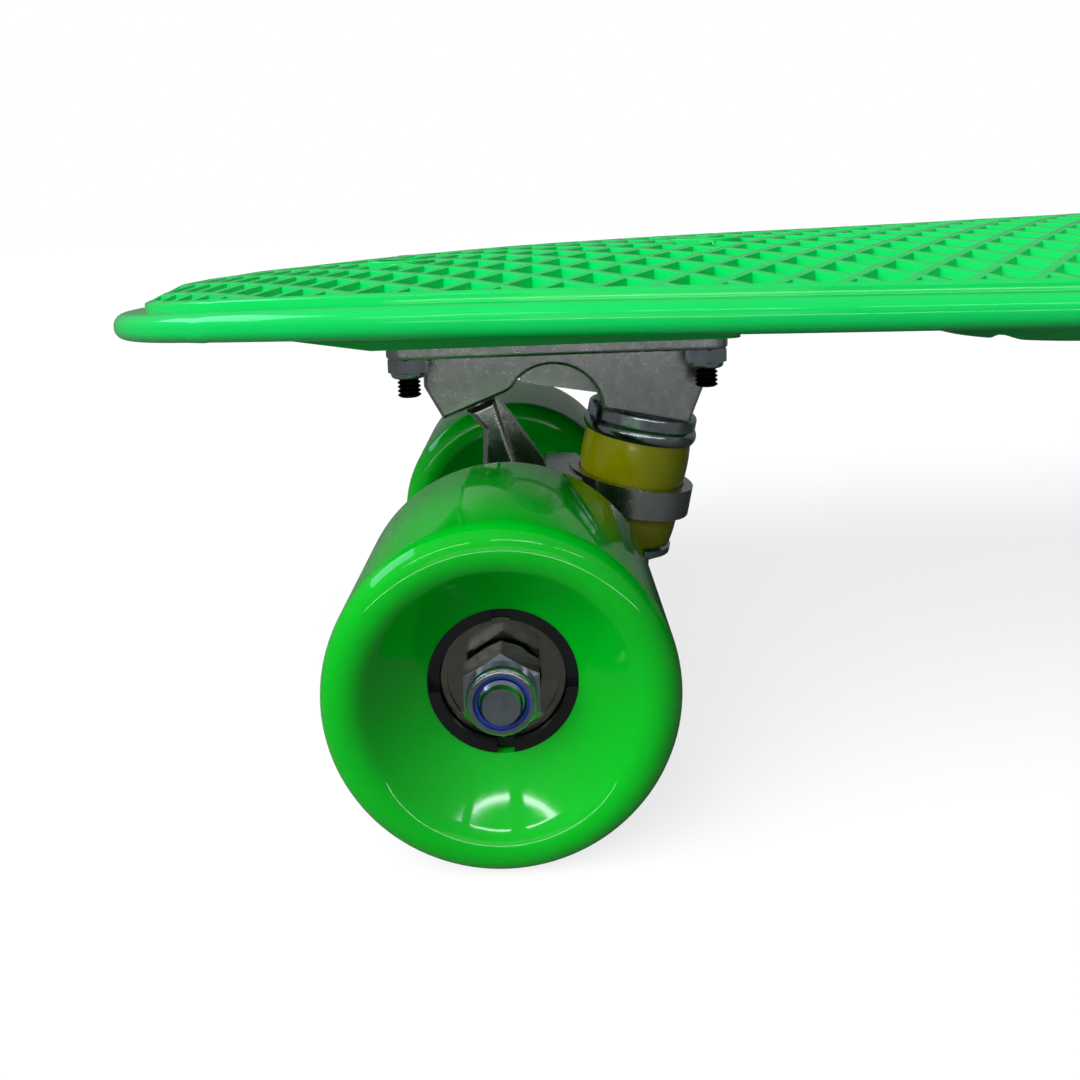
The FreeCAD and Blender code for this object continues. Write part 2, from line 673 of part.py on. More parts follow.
def road_side_bushing():
    hole = KINGPIN_RADIUS + HOLE_CLEARANCE
    foot = -SEAT - BUSHING_LENGTH
    return on_kingpin(lathe(
        (hole, -SEAT), (BUSHING_RADIUS, -SEAT), (BUSHING_RADIUS, -RING_HEIGHT / 2),
        (BUSHING_FOOT_RADIUS, foot), (hole, foot),
    ))


def road_side_washer():
    hole = KINGPIN_RADIUS + HOLE_CLEARANCE
    top = -SEAT - BUSHING_LENGTH
    foot = top - FOOT_WASHER_HEIGHT
    return on_kingpin(lathe(
        (hole, top), (FOOT_WASHER_RADIUS - 0.5, top), (FOOT_WASHER_RADIUS, top - 0.5),
        (FOOT_WASHER_RADIUS, top - FOOT_WASHER_SKIRT), (FOOT_WASHER_RADIUS - FOOT_WASHER_TAPER, foot),
        (hole, foot),
    ))


def hanger():
    """The casting that carries the axle: barrel, ring, neck, arm, web and ball."""
    half, end, middle = HANGER_HALF, HANGER_END_RADIUS, HANGER_MIDDLE_RADIUS
    barrel = along(lathe(
        (0, -half), (end - 0.6, -half), (end, 0.6 - half), (end, 2 - half), (middle, -10), (middle, 10),
        (end, half - 2), (end, half - 0.6), (end - 0.6, half), (0, half),
    ), vec(0, 0, 0), vec(0, 1, 0))
    ring = on_kingpin(rod(RING_RADIUS, -RING_HEIGHT / 2, RING_HEIGHT / 2))
    low = kingpin_point(0.4 - RING_HEIGHT / 2, -middle / 2)
    high = kingpin_point(RING_HEIGHT / 2 - 0.4, -BUSHING_RADIUS)
    neck = slab(
        outline((-middle / 2, -middle / 2), low, high, NECK_TOP, (0, middle), (-middle / 2, middle / 2)),
        2 * RING_RADIUS - NECK_INSET,
    )
    heel = pivot_point(-SHOULDER_GAP, -ARM_HEEL)
    toe = pivot_point(-SHOULDER_GAP, ARM_TOE)
    arm = slab(
        outline(heel, toe, (ARM_ROOT, middle / 2), (-ARM_ROOT, middle / 2), ARM_KNEE), ARM_WIDTH
    )
    arm = soften(arm, 1.4, lambda e: abs(abs(e.CenterOfMass.y) - ARM_WIDTH / 2) < 0.01)
    brace = slab(outline(toe, BRACE_FOOT, NECK_TOP, (0, 0), (-STEM_RADIUS, middle)), HANGER_WEB)
    ball = Part.makeSphere(BALL_RADIUS, BALL_CENTRE)
    stem = along(rod(STEM_RADIUS, -SHOULDER_GAP - 1.5, BALL_DEPTH), PIVOT_FOOT, PIVOT_AXIS)
    body = barrel.fuse([neck, ring, arm, brace, ball, stem])
    seat_radius = BUSHING_RADIUS + BUSHING_SEAT_FIT
    seats = rod(seat_radius, SEAT, RING_HEIGHT).fuse(rod(seat_radius, -RING_HEIGHT, -SEAT))
    hole = rod(KINGPIN_RADIUS + RING_ROOM, -RING_HEIGHT, RING_HEIGHT)
    bore = along(rod(AXLE_RADIUS, -half - 1, half + 1), vec(0, 0, 0), vec(0, 1, 0))
    below = rod(BUSHING_RADIUS + BUSHING_ROOM, -FAR / 10, -RING_HEIGHT / 2)
    for tool in (on_kingpin(seats), on_kingpin(hole), on_kingpin(below), bore):
        body = body.cut(tool)
    return body


def axle():
    """The through axle, threaded and bevelled at both ends."""
    tip = NUT_Y + AXLE_NUT_HEIGHT + AXLE_TAIL
    thread = AXLE_NUT_HEIGHT + AXLE_TAIL
    depth = 0.35 * AXLE_THREAD_PITCH
    right = [(0, tip), (AXLE_RADIUS - AXLE_CHAMFER, tip), (AXLE_RADIUS - depth, tip - AXLE_CHAMFER)]
    height = tip - AXLE_CHAMFER
    while height - AXLE_THREAD_PITCH > tip - thread:
        right.append((AXLE_RADIUS, height - 0.4 * AXLE_THREAD_PITCH))
        right.append((AXLE_RADIUS, height - 0.6 * AXLE_THREAD_PITCH))
        right.append((AXLE_RADIUS - depth, height - AXLE_THREAD_PITCH))
        height -= AXLE_THREAD_PITCH
    right.append((AXLE_RADIUS, height - 0.5 * AXLE_THREAD_PITCH))
    left = [(r, -z) for r, z in reversed(right)]
    return along(lathe(*(right + left)), vec(0, 0, 0), vec(0, 1, 0))


def axle_pair(shape, offset):
    """A part turned about the axle, placed at the offset on both sides, outer end outwards."""
    return Part.makeCompound(
        [along(shape, vec(0, s * offset, 0), vec(0, s, 0)) for s in SIDES.values()]
    )


def bolts():
    """Countersunk bolts, threaded where they pass the nut."""
    top = bolt_top()
    foot = TRUCK_HEIGHT - FLANGE_THICKNESS - BOLT_NUT_HEIGHT - BOLT_TAIL
    shank = threaded_rod(
        BOLT_RADIUS, foot, top - BOLT_HEAD_HEIGHT, BOLT_NUT_HEIGHT + BOLT_TAIL, BOLT_THREAD_PITCH
    )
    head = lathe(
        (0, top - BOLT_HEAD_HEIGHT), (BOLT_HEAD_RADIUS, top - BOLT_HEAD_HEIGHT),
        (BOLT_HEAD_RADIUS, top - 1.0), ((BOLT_HEAD_RADIUS - 0.4, top - 0.3), (BOLT_HEAD_RADIUS - 1.3, top)),
        (0, top),
    )
    slot_length, slot_width, slot_depth = 5.0, 1.1, 1.3
    for size in ((slot_length, slot_width), (slot_width, slot_length)):
        corner = vec(-size[0] / 2, -size[1] / 2, top - slot_depth)
        head = head.cut(Part.makeBox(size[0], size[1], slot_depth + 1, corner))
    one = shank.fuse(head)
    return Part.makeCompound([one.translated(vec(x, y, 0)) for x, y in bolt_places()])


def bolt_nuts():
    """The four nuts under the plate and their nylon rings."""
    nut, ring = locking_nut(BOLT_NUT, BOLT_RADIUS, BOLT_NUT_HEIGHT)
    under = TRUCK_HEIGHT - FLANGE_THICKNESS
    both = []
    for shape in (nut, ring):
        both.append(Part.makeCompound(
            [along(shape, vec(x, y, under), vec(0, 0, -1)) for x, y in bolt_places()]
        ))
    return both


# ------------------------------------------------------------------ wheels
def top_arc(centre_r, centre_z, degrees):
    """A point of the lip's circle, counted from straight outwards."""
    angle = math.radians(degrees)
    return centre_r + LIP_RADIUS * math.cos(angle), centre_z + LIP_RADIUS * math.sin(angle)


def tyre():
    """The soft ring: flat tread, rounded lips and a dished face down to the core on each side."""
    half, core = WHEEL_WIDTH / 2, CORE_LENGTH / 2
    lip_r, lip_z = WHEEL_RADIUS - LIP_RADIUS, half - LIP_RADIUS
    slant = math.sqrt(0.5) * LIP_RADIUS
    turn = (lip_r - slant, lip_z + slant)
    top = (lip_r, half)
    bend = ((CORE_RADIUS + turn[0]) / 2 - 0.9, (core + turn[1]) / 2 - 0.6)
    outer = (WHEEL_RADIUS, lip_z)
    edge = (lip_r + slant, lip_z + slant)

    def flip(point):
        return point[0], -point[1]

    return lathe(
        (CORE_RADIUS, -core), (CORE_RADIUS, core), (bend, turn), (top_arc(lip_r, lip_z, 112), top),
        (edge, outer), flip(outer), (flip(edge), flip(top)),
        (flip(top_arc(lip_r, lip_z, 112)), flip(turn)), (flip(bend), (CORE_RADIUS, -core)),
    )


def core():
    """The stiff hub with two bearing seats and a shoulder between them."""
    half, gap = CORE_LENGTH / 2, BEARING_GAP / 2
    hub = tube(CORE_RADIUS, BEARING_RADIUS - CORE_SHOULDER, -half, half)
    for side in SIDES.values():
        low, high = sorted((side * gap, side * (half + 1)))
        hub = hub.cut(rod(BEARING_RADIUS, low, high))
        for k in range(NOTCH_COUNT):
            notch = Part.makeBox(
                CORE_RADIUS, NOTCH_WIDTH, NOTCH_DEPTH * 2,
                vec(BEARING_RADIUS - 1, -NOTCH_WIDTH / 2, side * half - NOTCH_DEPTH),
            )
            notch.rotate(vec(0, 0, 0), vec(0, 0, 1), 90 + 360 * k / NOTCH_COUNT)
            hub = hub.cut(notch)
    return hub


def both_bearings(shape):
    """A bearing part at both of a wheel's bearing places."""
    offset = (BEARING_GAP + BEARING_WIDTH) / 2
    return Part.makeCompound([shape.translated(vec(0, 0, s * offset)) for s in (-1, 1)])


def ball_groove():
    return Part.makeTorus(BALL_PITCH, BALL_BEARING_RADIUS + GROOVE_CLEARANCE)


def outer_ring():
    half, bevel = BEARING_WIDTH / 2, RACE_BEVEL
    ledge = half - SHIELD_INSET - SHIELD_THICKNESS
    ring = lathe(
        (RACE_OUTER, -ledge), (RACE_OUTER, ledge), (SHIELD_RADIUS, ledge), (SHIELD_RADIUS, half),
        (BEARING_RADIUS - bevel, half), (BEARING_RADIUS, half - bevel),
        (BEARING_RADIUS, bevel - half), (BEARING_RADIUS - bevel, -half),
        (SHIELD_RADIUS, -half), (SHIELD_RADIUS, -ledge),
    )
    return ring.cut(ball_groove())


def inner_ring():
    half, bevel = BEARING_WIDTH / 2, RACE_BEVEL
    ring = lathe(
        (AXLE_RADIUS, -half), (RACE_INNER - bevel, -half), (RACE_INNER, bevel - half),
        (RACE_INNER, half - bevel), (RACE_INNER - bevel, half), (AXLE_RADIUS, half),
    )
    return ring.cut(ball_groove())


def shields():
    top = BEARING_WIDTH / 2 - SHIELD_INSET
    plate = tube(SHIELD_RADIUS, RACE_INNER + SHIELD_GAP, top - SHIELD_THICKNESS, top)
    return Part.makeCompound([plate, plate.mirror(vec(0, 0, 0), vec(0, 0, 1))])


def balls():
    count = BALL_BEARING_COUNT
    turns = [2 * math.pi * k / count for k in range(count)]
    places = [vec(BALL_PITCH * math.cos(turn), BALL_PITCH * math.sin(turn), 0) for turn in turns]
    return Part.makeCompound([Part.makeSphere(BALL_BEARING_RADIUS, p) for p in places])


# ------------------------------------------------------------------ the whole board
def export(name, shape):
    shape.exportStep("parts/" + name + ".step")


def main():
    os.makedirs("parts", exist_ok=True)
    export("deck", deck())

    nut, nut_ring = kingpin_nut()
    deck_nuts, deck_rings = bolt_nuts()
    axle_nut, axle_ring = locking_nut(AXLE_NUT, AXLE_RADIUS, AXLE_NUT_HEIGHT)
    washer = tube(AXLE_RADIUS + SPEED_WASHER_WALL, AXLE_RADIUS, 0, SPEED_WASHER)
    washers = Part.makeCompound([
        axle_pair(washer, HANGER_HALF), axle_pair(washer, NUT_Y - SPEED_WASHER),
    ])
    spacer = tube(AXLE_RADIUS + SPACER_WALL, AXLE_RADIUS, -BEARING_GAP / 2, BEARING_GAP / 2)
    truck_parts = {
        "baseplate": baseplate(),
        "pivot_cup": pivot_cup(),
        "kingpin": kingpin(),
        "kingpin_nut": nut,
        "board_side_bushing": board_side_bushing(),
        "board_side_washer": board_side_washer(),
        "road_side_bushing": road_side_bushing(),
        "road_side_washer": road_side_washer(),
        "hanger": hanger(),
        "axle": axle(),
        "axle_nuts": axle_pair(axle_nut, NUT_Y),
        "axle_nut_inserts": axle_pair(axle_ring, NUT_Y),
        "speed_washers": washers,
        "bearing_inner_rings": axle_pair(both_bearings(inner_ring()), WHEEL_Y),
        "bearing_spacers": axle_pair(spacer, WHEEL_Y),
        "deck_bolts": bolts(),
        "deck_nuts": deck_nuts,
    }
    inserts = {"kingpin_nut_inserts": nut_ring, "deck_nut_inserts": deck_rings}
    for end, place in ENDS.items():
        for name, shape in truck_parts.items():
            export(name + "_" + end, placed(shape, place))
    for name, shape in inserts.items():
        export(name, Part.makeCompound([placed(shape, place) for place in ENDS.values()]))

    wheel_parts = {
        "tyre": tyre(),
        "core": core(),
        "bearing_outer_rings": both_bearings(outer_ring()),
        "bearing_shields": both_bearings(shields()),
        "bearing_balls": both_bearings(balls()),
    }
    for end, place in ENDS.items():
        for side, sign in SIDES.items():
            centre = place.Base + vec(0, sign * WHEEL_Y, 0)
            for name, shape in wheel_parts.items():
                export(name + "_" + end + "_" + side, along(shape, centre, vec(0, sign, 0)))


main()
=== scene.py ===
# %% [markdown]
# # A small plastic cruiser board
#
# The real board is a moulded plastic deck on two die-cast trucks, each with a pair of soft
# cast wheels. Nearly all of the metal is already right in the CAD model, which is loaded here
# as a frame that never moves. This lesson remakes the three kinds of piece that need more than
# an engineering solid: the deck with its non-slip grid, the wheels' tyres and the trucks'
# bushings. It then gives every piece a finish.

# %% Load the CAD frame
import math

import bmesh
import bpy
import numpy as np
from mathutils import Euler, Matrix, Vector


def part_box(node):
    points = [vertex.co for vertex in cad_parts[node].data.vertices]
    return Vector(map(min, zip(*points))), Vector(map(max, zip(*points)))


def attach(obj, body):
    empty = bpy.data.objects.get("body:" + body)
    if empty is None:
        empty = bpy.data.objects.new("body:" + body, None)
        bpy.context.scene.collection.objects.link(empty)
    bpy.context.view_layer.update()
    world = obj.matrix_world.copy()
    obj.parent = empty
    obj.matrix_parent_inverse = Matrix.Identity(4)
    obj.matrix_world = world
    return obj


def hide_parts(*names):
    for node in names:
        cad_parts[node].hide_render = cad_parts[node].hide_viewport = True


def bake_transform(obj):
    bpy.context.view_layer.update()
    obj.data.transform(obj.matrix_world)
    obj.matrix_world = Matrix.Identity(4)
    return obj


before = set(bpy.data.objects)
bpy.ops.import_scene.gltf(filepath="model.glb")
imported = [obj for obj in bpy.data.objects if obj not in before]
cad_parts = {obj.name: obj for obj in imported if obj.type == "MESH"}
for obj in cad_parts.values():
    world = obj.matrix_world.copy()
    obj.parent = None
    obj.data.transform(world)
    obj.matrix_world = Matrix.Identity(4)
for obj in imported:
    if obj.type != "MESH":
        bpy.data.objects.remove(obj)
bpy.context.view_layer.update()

# %% [markdown]
# ## Units and measuring
#
# Blender works in metres and a workshop drawing in millimetres, so one short name turns one
# into the other. Every place is measured on the CAD nodes. The deck's long curve is the
# hardest thing to measure by hand, so rays are shot at the CAD deck from below, at its rim,
# and the heights that they hit are kept as a table that can be read at any x.

# %% Millimetres, and the board's main sizes
MM = 0.001
deck_low, deck_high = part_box("deck")
NOSE_X, TAIL_X = deck_low.x, deck_high.x
HALF_WIDTH = deck_high.y
PAD_FOOT = deck_low.z
RIM_THICKNESS = 5.6 * MM
FIELD_STEP = 1.6 * MM
NOSE_ROUND = 142 * MM
TAIL_TAPER = 195 * MM
TAIL_HALF = 52 * MM
TAIL_CORNER = 34 * MM
RIM_BAND = 6.5 * MM
FIELD_NOSE_GAP = 9 * MM
FIELD_NOSE = NOSE_X + FIELD_NOSE_GAP
FADE = 8 * MM
NOSE_CENTRE = NOSE_X + NOSE_ROUND
TAPER_X = TAIL_X - TAIL_TAPER
SWEEP = (TAIL_TAPER ** 2 + (HALF_WIDTH - TAIL_HALF) ** 2) / (2 * (HALF_WIDTH - TAIL_HALF))
print("deck from", round(NOSE_X, 4), "to", round(TAIL_X, 4), "half width", round(HALF_WIDTH, 4))


# %% The half width of the board's plan at any x
def half_width(x, inset=0.0):
    """Half the board's width at x, drawn in by the inset."""
    if x < NOSE_CENTRE:
        reach = max(0.0, 1 - ((NOSE_CENTRE - x) / (NOSE_ROUND - inset)) ** 2)
        return (HALF_WIDTH - inset) * math.sqrt(reach)
    if x < TAPER_X:
        return HALF_WIDTH - inset
    return HALF_WIDTH - SWEEP + math.sqrt((SWEEP - inset) ** 2 - (x - TAPER_X) ** 2)


# %% Shoot rays at the CAD deck for the rim's line and the field's crown
def hit_height(x, y, upwards):
    """Height of the CAD deck at (x, y), met from far below or from far above."""
    direction = Vector((0, 0, 1 if upwards else -1))
    found, place, _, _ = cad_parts["deck"].ray_cast(Vector((x, y, 0)) - direction, direction)
    return place.z if found else None


rim_x, rim_z, crown_x, crown_z = [], [], [], []
for x in np.arange(NOSE_X + 6 * MM, TAIL_X - 5 * MM, 2 * MM):
    clear_of_pads = 0 if x < NOSE_X + 33 * MM or x > TAIL_X - 60 * MM else 0.88 * half_width(x)
    rim_x.append(x)
    rim_z.append(hit_height(x, clear_of_pads, True))
rim_slopes = [(rim_z[1] - rim_z[0]) / (rim_x[1] - rim_x[0]), (rim_z[-1] - rim_z[-2]) / (rim_x[-1] - rim_x[-2])]


def rim_under(x):
    """Height of the rim's underside at x, carried on straight past the measured ends."""
    if x < rim_x[0]:
        return rim_z[0] + (x - rim_x[0]) * rim_slopes[0]
    if x > rim_x[-1]:
        return rim_z[-1] + (x - rim_x[-1]) * rim_slopes[1]
    return float(np.interp(x, rim_x, rim_z))


for x in np.arange(NOSE_X + 16 * MM, TAIL_X - 10 * MM, 4 * MM):
    crown_x.append(x)
    crown_z.append(hit_height(x, 0, False) - rim_under(x) - RIM_THICKNESS - FIELD_STEP)


def crown(x, y):
    """How far the field stands over its outline at (x, y): most along the middle, nothing at the outline."""
    half = half_width(x, RIM_BAND)
    inwards = min(x - FIELD_NOSE, TAIL_X - RIM_BAND - x) / FADE
    if half < 1 * MM or inwards < 0:
        return 0.0
    fade = 1 - (1 - min(1.0, inwards)) ** 2
    return float(np.interp(x, crown_x, crown_z)) * max(0.0, 1 - (y / half) ** 2) * fade


print("rim underside:", [round(rim_under(x) / MM, 2) for x in (NOSE_X, -0.193, 0, 0.167, TAIL_X)])
print("crown:", [round(crown(x, 0) / MM, 2) for x in (NOSE_X, -0.193, 0, 0.167, TAIL_X)])

# %% [markdown]
# ## The camera
#
# The camera stands low beside the board's nose, a hand's width from the front wheel, and
# looks square across it. Seen from that near, the wheel's face grows large and the deck's far
# edge falls quickly into perspective, so the lens is short. The lens is shifted rather than
# tipped up, which keeps upright edges upright.

# %% Set up the camera
CAMERA_PLACE = Vector((-184.906, -209.919, 106.417)) * MM
CAMERA_YAW, CAMERA_PITCH, CAMERA_ROLL = 0.0161, -0.1111, -0.0334
camera_data = bpy.data.cameras.new("camera")
camera = bpy.data.objects.new("camera", camera_data)
bpy.context.scene.collection.objects.link(camera)
camera.location = CAMERA_PLACE
camera.rotation_euler = (
    Euler((math.pi / 2 + CAMERA_PITCH, 0, -CAMERA_YAW)).to_matrix() @ Matrix.Rotation(CAMERA_ROLL, 3, "Z")
).to_euler()
camera_data.sensor_width = 36
camera_data.lens = 896.6 / 1080 * 36
camera_data.shift_x = (540 - 552.4) / 1080
camera_data.shift_y = (330 - 540) / 1080
camera_data.clip_start = 0.01
bpy.context.scene.camera = camera
bpy.context.scene.view_settings.view_transform = "Standard"
print("camera at", [round(v, 3) for v in camera.location], "lens", round(camera_data.lens, 2), "mm")


# %% [markdown]
# ## Helpers for shaping and for materials
#
# Everything is modelled with the operators behind Blender's own menus. Three helpers save
# typing: one picks faces, edges or corners by a rule, one applies a modifier, and one closes
# a finished piece. For materials there is one function that turns a hex colour as a painter
# would quote it into the linear values that light works in, and one that adds a node.

# %% Pick parts, apply modifiers and finish a piece
def open_up(piece):
    """Makes the piece the only selected object and enters edit mode."""
    bpy.ops.object.select_all(action="DESELECT")
    piece.select_set(True)
    bpy.context.view_layer.objects.active = piece
    bpy.ops.object.mode_set(mode="EDIT")


def pick(piece, kind, rule):
    """In edit mode, selects only those of the piece's VERT, EDGE or FACE parts that pass the rule."""
    bpy.ops.mesh.select_mode(type=kind)
    bpy.ops.mesh.select_all(action="DESELECT")
    mesh = bmesh.from_edit_mesh(piece.data)
    parts = {"VERT": mesh.verts, "EDGE": mesh.edges, "FACE": mesh.faces}[kind]
    chosen = [part for part in parts if rule(part)]
    for part in chosen:
        part.select_set(True)
    mesh.select_flush_mode()
    bmesh.update_edit_mesh(piece.data)
    return len(chosen)


def close_up():
    bpy.ops.object.mode_set(mode="OBJECT")


def new_piece(name):
    """Names the primitive that was just added, with its place and size put into its mesh."""
    piece = bpy.context.view_layer.objects.active
    piece.name = piece.data.name = name
    bpy.ops.object.transform_apply(location=True, rotation=True, scale=True)
    return piece


def combine(piece, other, operation):
    """Adds, cuts or keeps the other piece's shape, then throws the other away."""
    bpy.ops.object.select_all(action="DESELECT")
    piece.select_set(True)
    bpy.context.view_layer.objects.active = piece
    modifier = piece.modifiers.new(operation.lower(), "BOOLEAN")
    modifier.operation, modifier.object, modifier.solver = operation, other, "MANIFOLD"
    bpy.ops.object.modifier_apply(modifier=modifier.name)
    bpy.data.objects.remove(other)


def tidy_normals(piece):
    """Merges doubles and turns every face outwards."""
    open_up(piece)
    bpy.ops.mesh.select_all(action="SELECT")
    bpy.ops.mesh.remove_doubles(threshold=0.002 * MM)
    bpy.ops.mesh.normals_make_consistent(inside=False)
    close_up()


def join_pieces(pieces, name):
    """Puts several loose pieces into the first one's mesh."""
    bpy.ops.object.select_all(action="DESELECT")
    for piece in pieces:
        piece.select_set(True)
    bpy.context.view_layer.objects.active = pieces[0]
    bpy.ops.object.join()
    pieces[0].name = pieces[0].data.name = name
    return pieces[0]


def lift(piece, height_at):
    """Moves every corner of the piece up by a height that depends on where it is."""
    for corner in piece.data.vertices:
        corner.co.z += height_at(corner.co)
    piece.data.update()


def smooth(piece, degrees=35):
    bpy.ops.object.select_all(action="DESELECT")
    piece.select_set(True)
    bpy.context.view_layer.objects.active = piece
    bpy.ops.object.shade_smooth_by_angle(angle=math.radians(degrees))
    print(piece.name, len(piece.data.polygons), "faces")


# %% Colours and nodes
def linear(hex_colour):
    """The linear colour, with alpha, of an sRGB hex value such as #1A2B3C."""
    parts = [int(hex_colour[k:k + 2], 16) / 255 for k in (1, 3, 5)]
    return [p / 12.92 if p <= 0.04045 else ((p + 0.055) / 1.055) ** 2.4 for p in parts] + [1.0]


def add_node(material, kind, settings=None, **links):
    """Adds a node, sets its properties and sockets, and links its named inputs to other nodes' outputs."""
    node = material.node_tree.nodes.new(kind)
    for name, value in (settings or {}).items():
        if name in node.inputs:
            node.inputs[name].default_value = value
        else:
            setattr(node, name, value)
    for name, output in links.items():
        socket = node.inputs[name.replace("_", " ")] if name.replace("_", " ") in node.inputs else node.inputs[int(name[1:])]
        material.node_tree.links.new(output, socket)
    return node


# %% [markdown]
# ## Floor and studio light
#
# The board stands on a plain pale floor. Two soft suns give an even light, and are kept out of
# the reflections, where they would be a white haze. What the gloss does mirror is drawn on its
# own: three ceiling tubes in a row, which make the arcs in the wheels' bowls and the line down
# the rim, a low strip for a second line, a dim card
# in front for the metal, and a cool window on the left, which catches the nose
# and the tread.
# The surroundings are white to the eye, but dark at the horizon to the object, so that its
# metal has something dark to mirror. The floor is likewise a calmer grey to the object than to
# the eye, or it would light the board from below.

# %% Floor
bpy.ops.object.select_all(action="DESELECT")
bpy.ops.mesh.primitive_plane_add(size=60, location=(0, 0, 0))
floor = new_piece("floor")
floor_paint = bpy.data.materials.new("matt_white_floor")
floor_paint.use_nodes = True
floor_paint.node_tree.nodes.clear()
ray = add_node(floor_paint, "ShaderNodeLightPath")
grey = add_node(floor_paint, "ShaderNodeBsdfDiffuse", {"Color": linear("#626463")})
white = add_node(floor_paint, "ShaderNodeBsdfDiffuse", {"Color": linear("#7E7E7E")})
glow = add_node(floor_paint, "ShaderNodeEmission", {"Color": linear("#FFFFFF"), "Strength": 0.78})
lit = add_node(floor_paint, "ShaderNodeAddShader", None, _0=white.outputs[0], _1=glow.outputs[0])
look = add_node(
    floor_paint, "ShaderNodeMixShader", None, _0=ray.outputs["Is Camera Ray"], _1=grey.outputs[0], _2=lit.outputs[0]
)
add_node(floor_paint, "ShaderNodeOutputMaterial", None, Surface=look.outputs[0])
floor.data.materials.append(floor_paint)
print("floor", [round(v, 1) for v in floor.dimensions])

# %% Surroundings
world = bpy.data.worlds.new("studio")
bpy.context.scene.world = world
world.use_nodes = True
world.node_tree.nodes.clear()
seen = add_node(world, "ShaderNodeBackground", {"Color": linear("#FFFFFF"), "Strength": 1.0})
skyward = add_node(world, "ShaderNodeTexCoord").outputs["Generated"]
height = add_node(world, "ShaderNodeSeparateXYZ", None, Vector=skyward)
shade = add_node(world, "ShaderNodeValToRGB", None, Fac=height.outputs["Z"])
shade.color_ramp.elements[0].position, shade.color_ramp.elements[1].position = 0.05, 0.75
shade.color_ramp.elements[0].color, shade.color_ramp.elements[1].color = linear("#767A78"), linear("#A4ACB0")
felt = add_node(world, "ShaderNodeBackground", {"Strength": 0.85}, Color=shade.outputs["Color"])
ray = add_node(world, "ShaderNodeLightPath")
both = add_node(world, "ShaderNodeMixShader", None, _0=ray.outputs["Is Camera Ray"], _1=felt.outputs[0], _2=seen.outputs[0])
add_node(world, "ShaderNodeOutputWorld", None, Surface=both.outputs[0])
print("surroundings ready")


# %% Lights
def lamp(name, kind, place, target, power, size, colour="#FFFFFF", along=(1, 0, 0)):
    """A light aimed at a target. A sun's size is its angle in degrees, and it only gives shade;
    an area's is (length, width), its length lies along a direction, and it only gives shine."""
    data = bpy.data.lights.new(name, kind)
    data.energy = power
    data.color = linear(colour)[:3]
    light = bpy.data.objects.new(name, data)
    if kind == "SUN":
        data.angle = math.radians(size)
        light.visible_glossy = False
    else:
        data.shape = "RECTANGLE"
        data.size, data.size_y = size
        light.visible_diffuse = False
    bpy.context.scene.collection.objects.link(light)
    back = (Vector(place) - Vector(target)).normalized()
    up = back.cross(Vector(along)).normalized()
    light.matrix_world = Matrix.Translation(place) @ Matrix((up.cross(back), up, back)).transposed().to_4x4()
    return light


lamp("high_sun", "SUN", (-1.2, -1.2, 1.7), (0, 0, 0), 3.4, 60)
lamp("front_sun", "SUN", (-1.5, -1.8, 0.6), (0, 0, 0), 2.5, 60)
for name, middle, length in (("right_tube", 0.55, 0.42), ("middle_tube", -0.05, 0.5), ("left_tube", -0.98, 0.95)):
    lamp(name, "AREA", (middle, -0.97, 1.0), (middle, -0.07, 0.03), 1.3 * length, (length, 0.02), "#F4FAFF")
lamp("low_strip", "AREA", (-0.15, -1.6, 0.13), (-0.15, 0, 0.09), 3.5, (3.2, 0.03))
lamp("front_card", "AREA", (-0.3, -2.2, 0.45), (-0.19, -0.1, 0.03), 2.4, (1.6, 0.8))
lamp("left_window", "AREA", (-1.9, 0.15, 1.25), (-0.2, 0, 0.06), 14.0, (1.3, 0.9), "#BFE0FF", (0, 1, 0))

# %% [markdown]
# ## The deck's plan
#
# From above, the deck is half an ellipse at the nose, straight along the middle, and narrows
# along a wide arc to a tail with round corners. A circle is squeezed to the ellipse and its
# right half cut away, then its straight edge is drawn out in steps, each a little narrower.
# The same outline, drawn in by some millimetres, is needed again for the field, so it is a
# function.


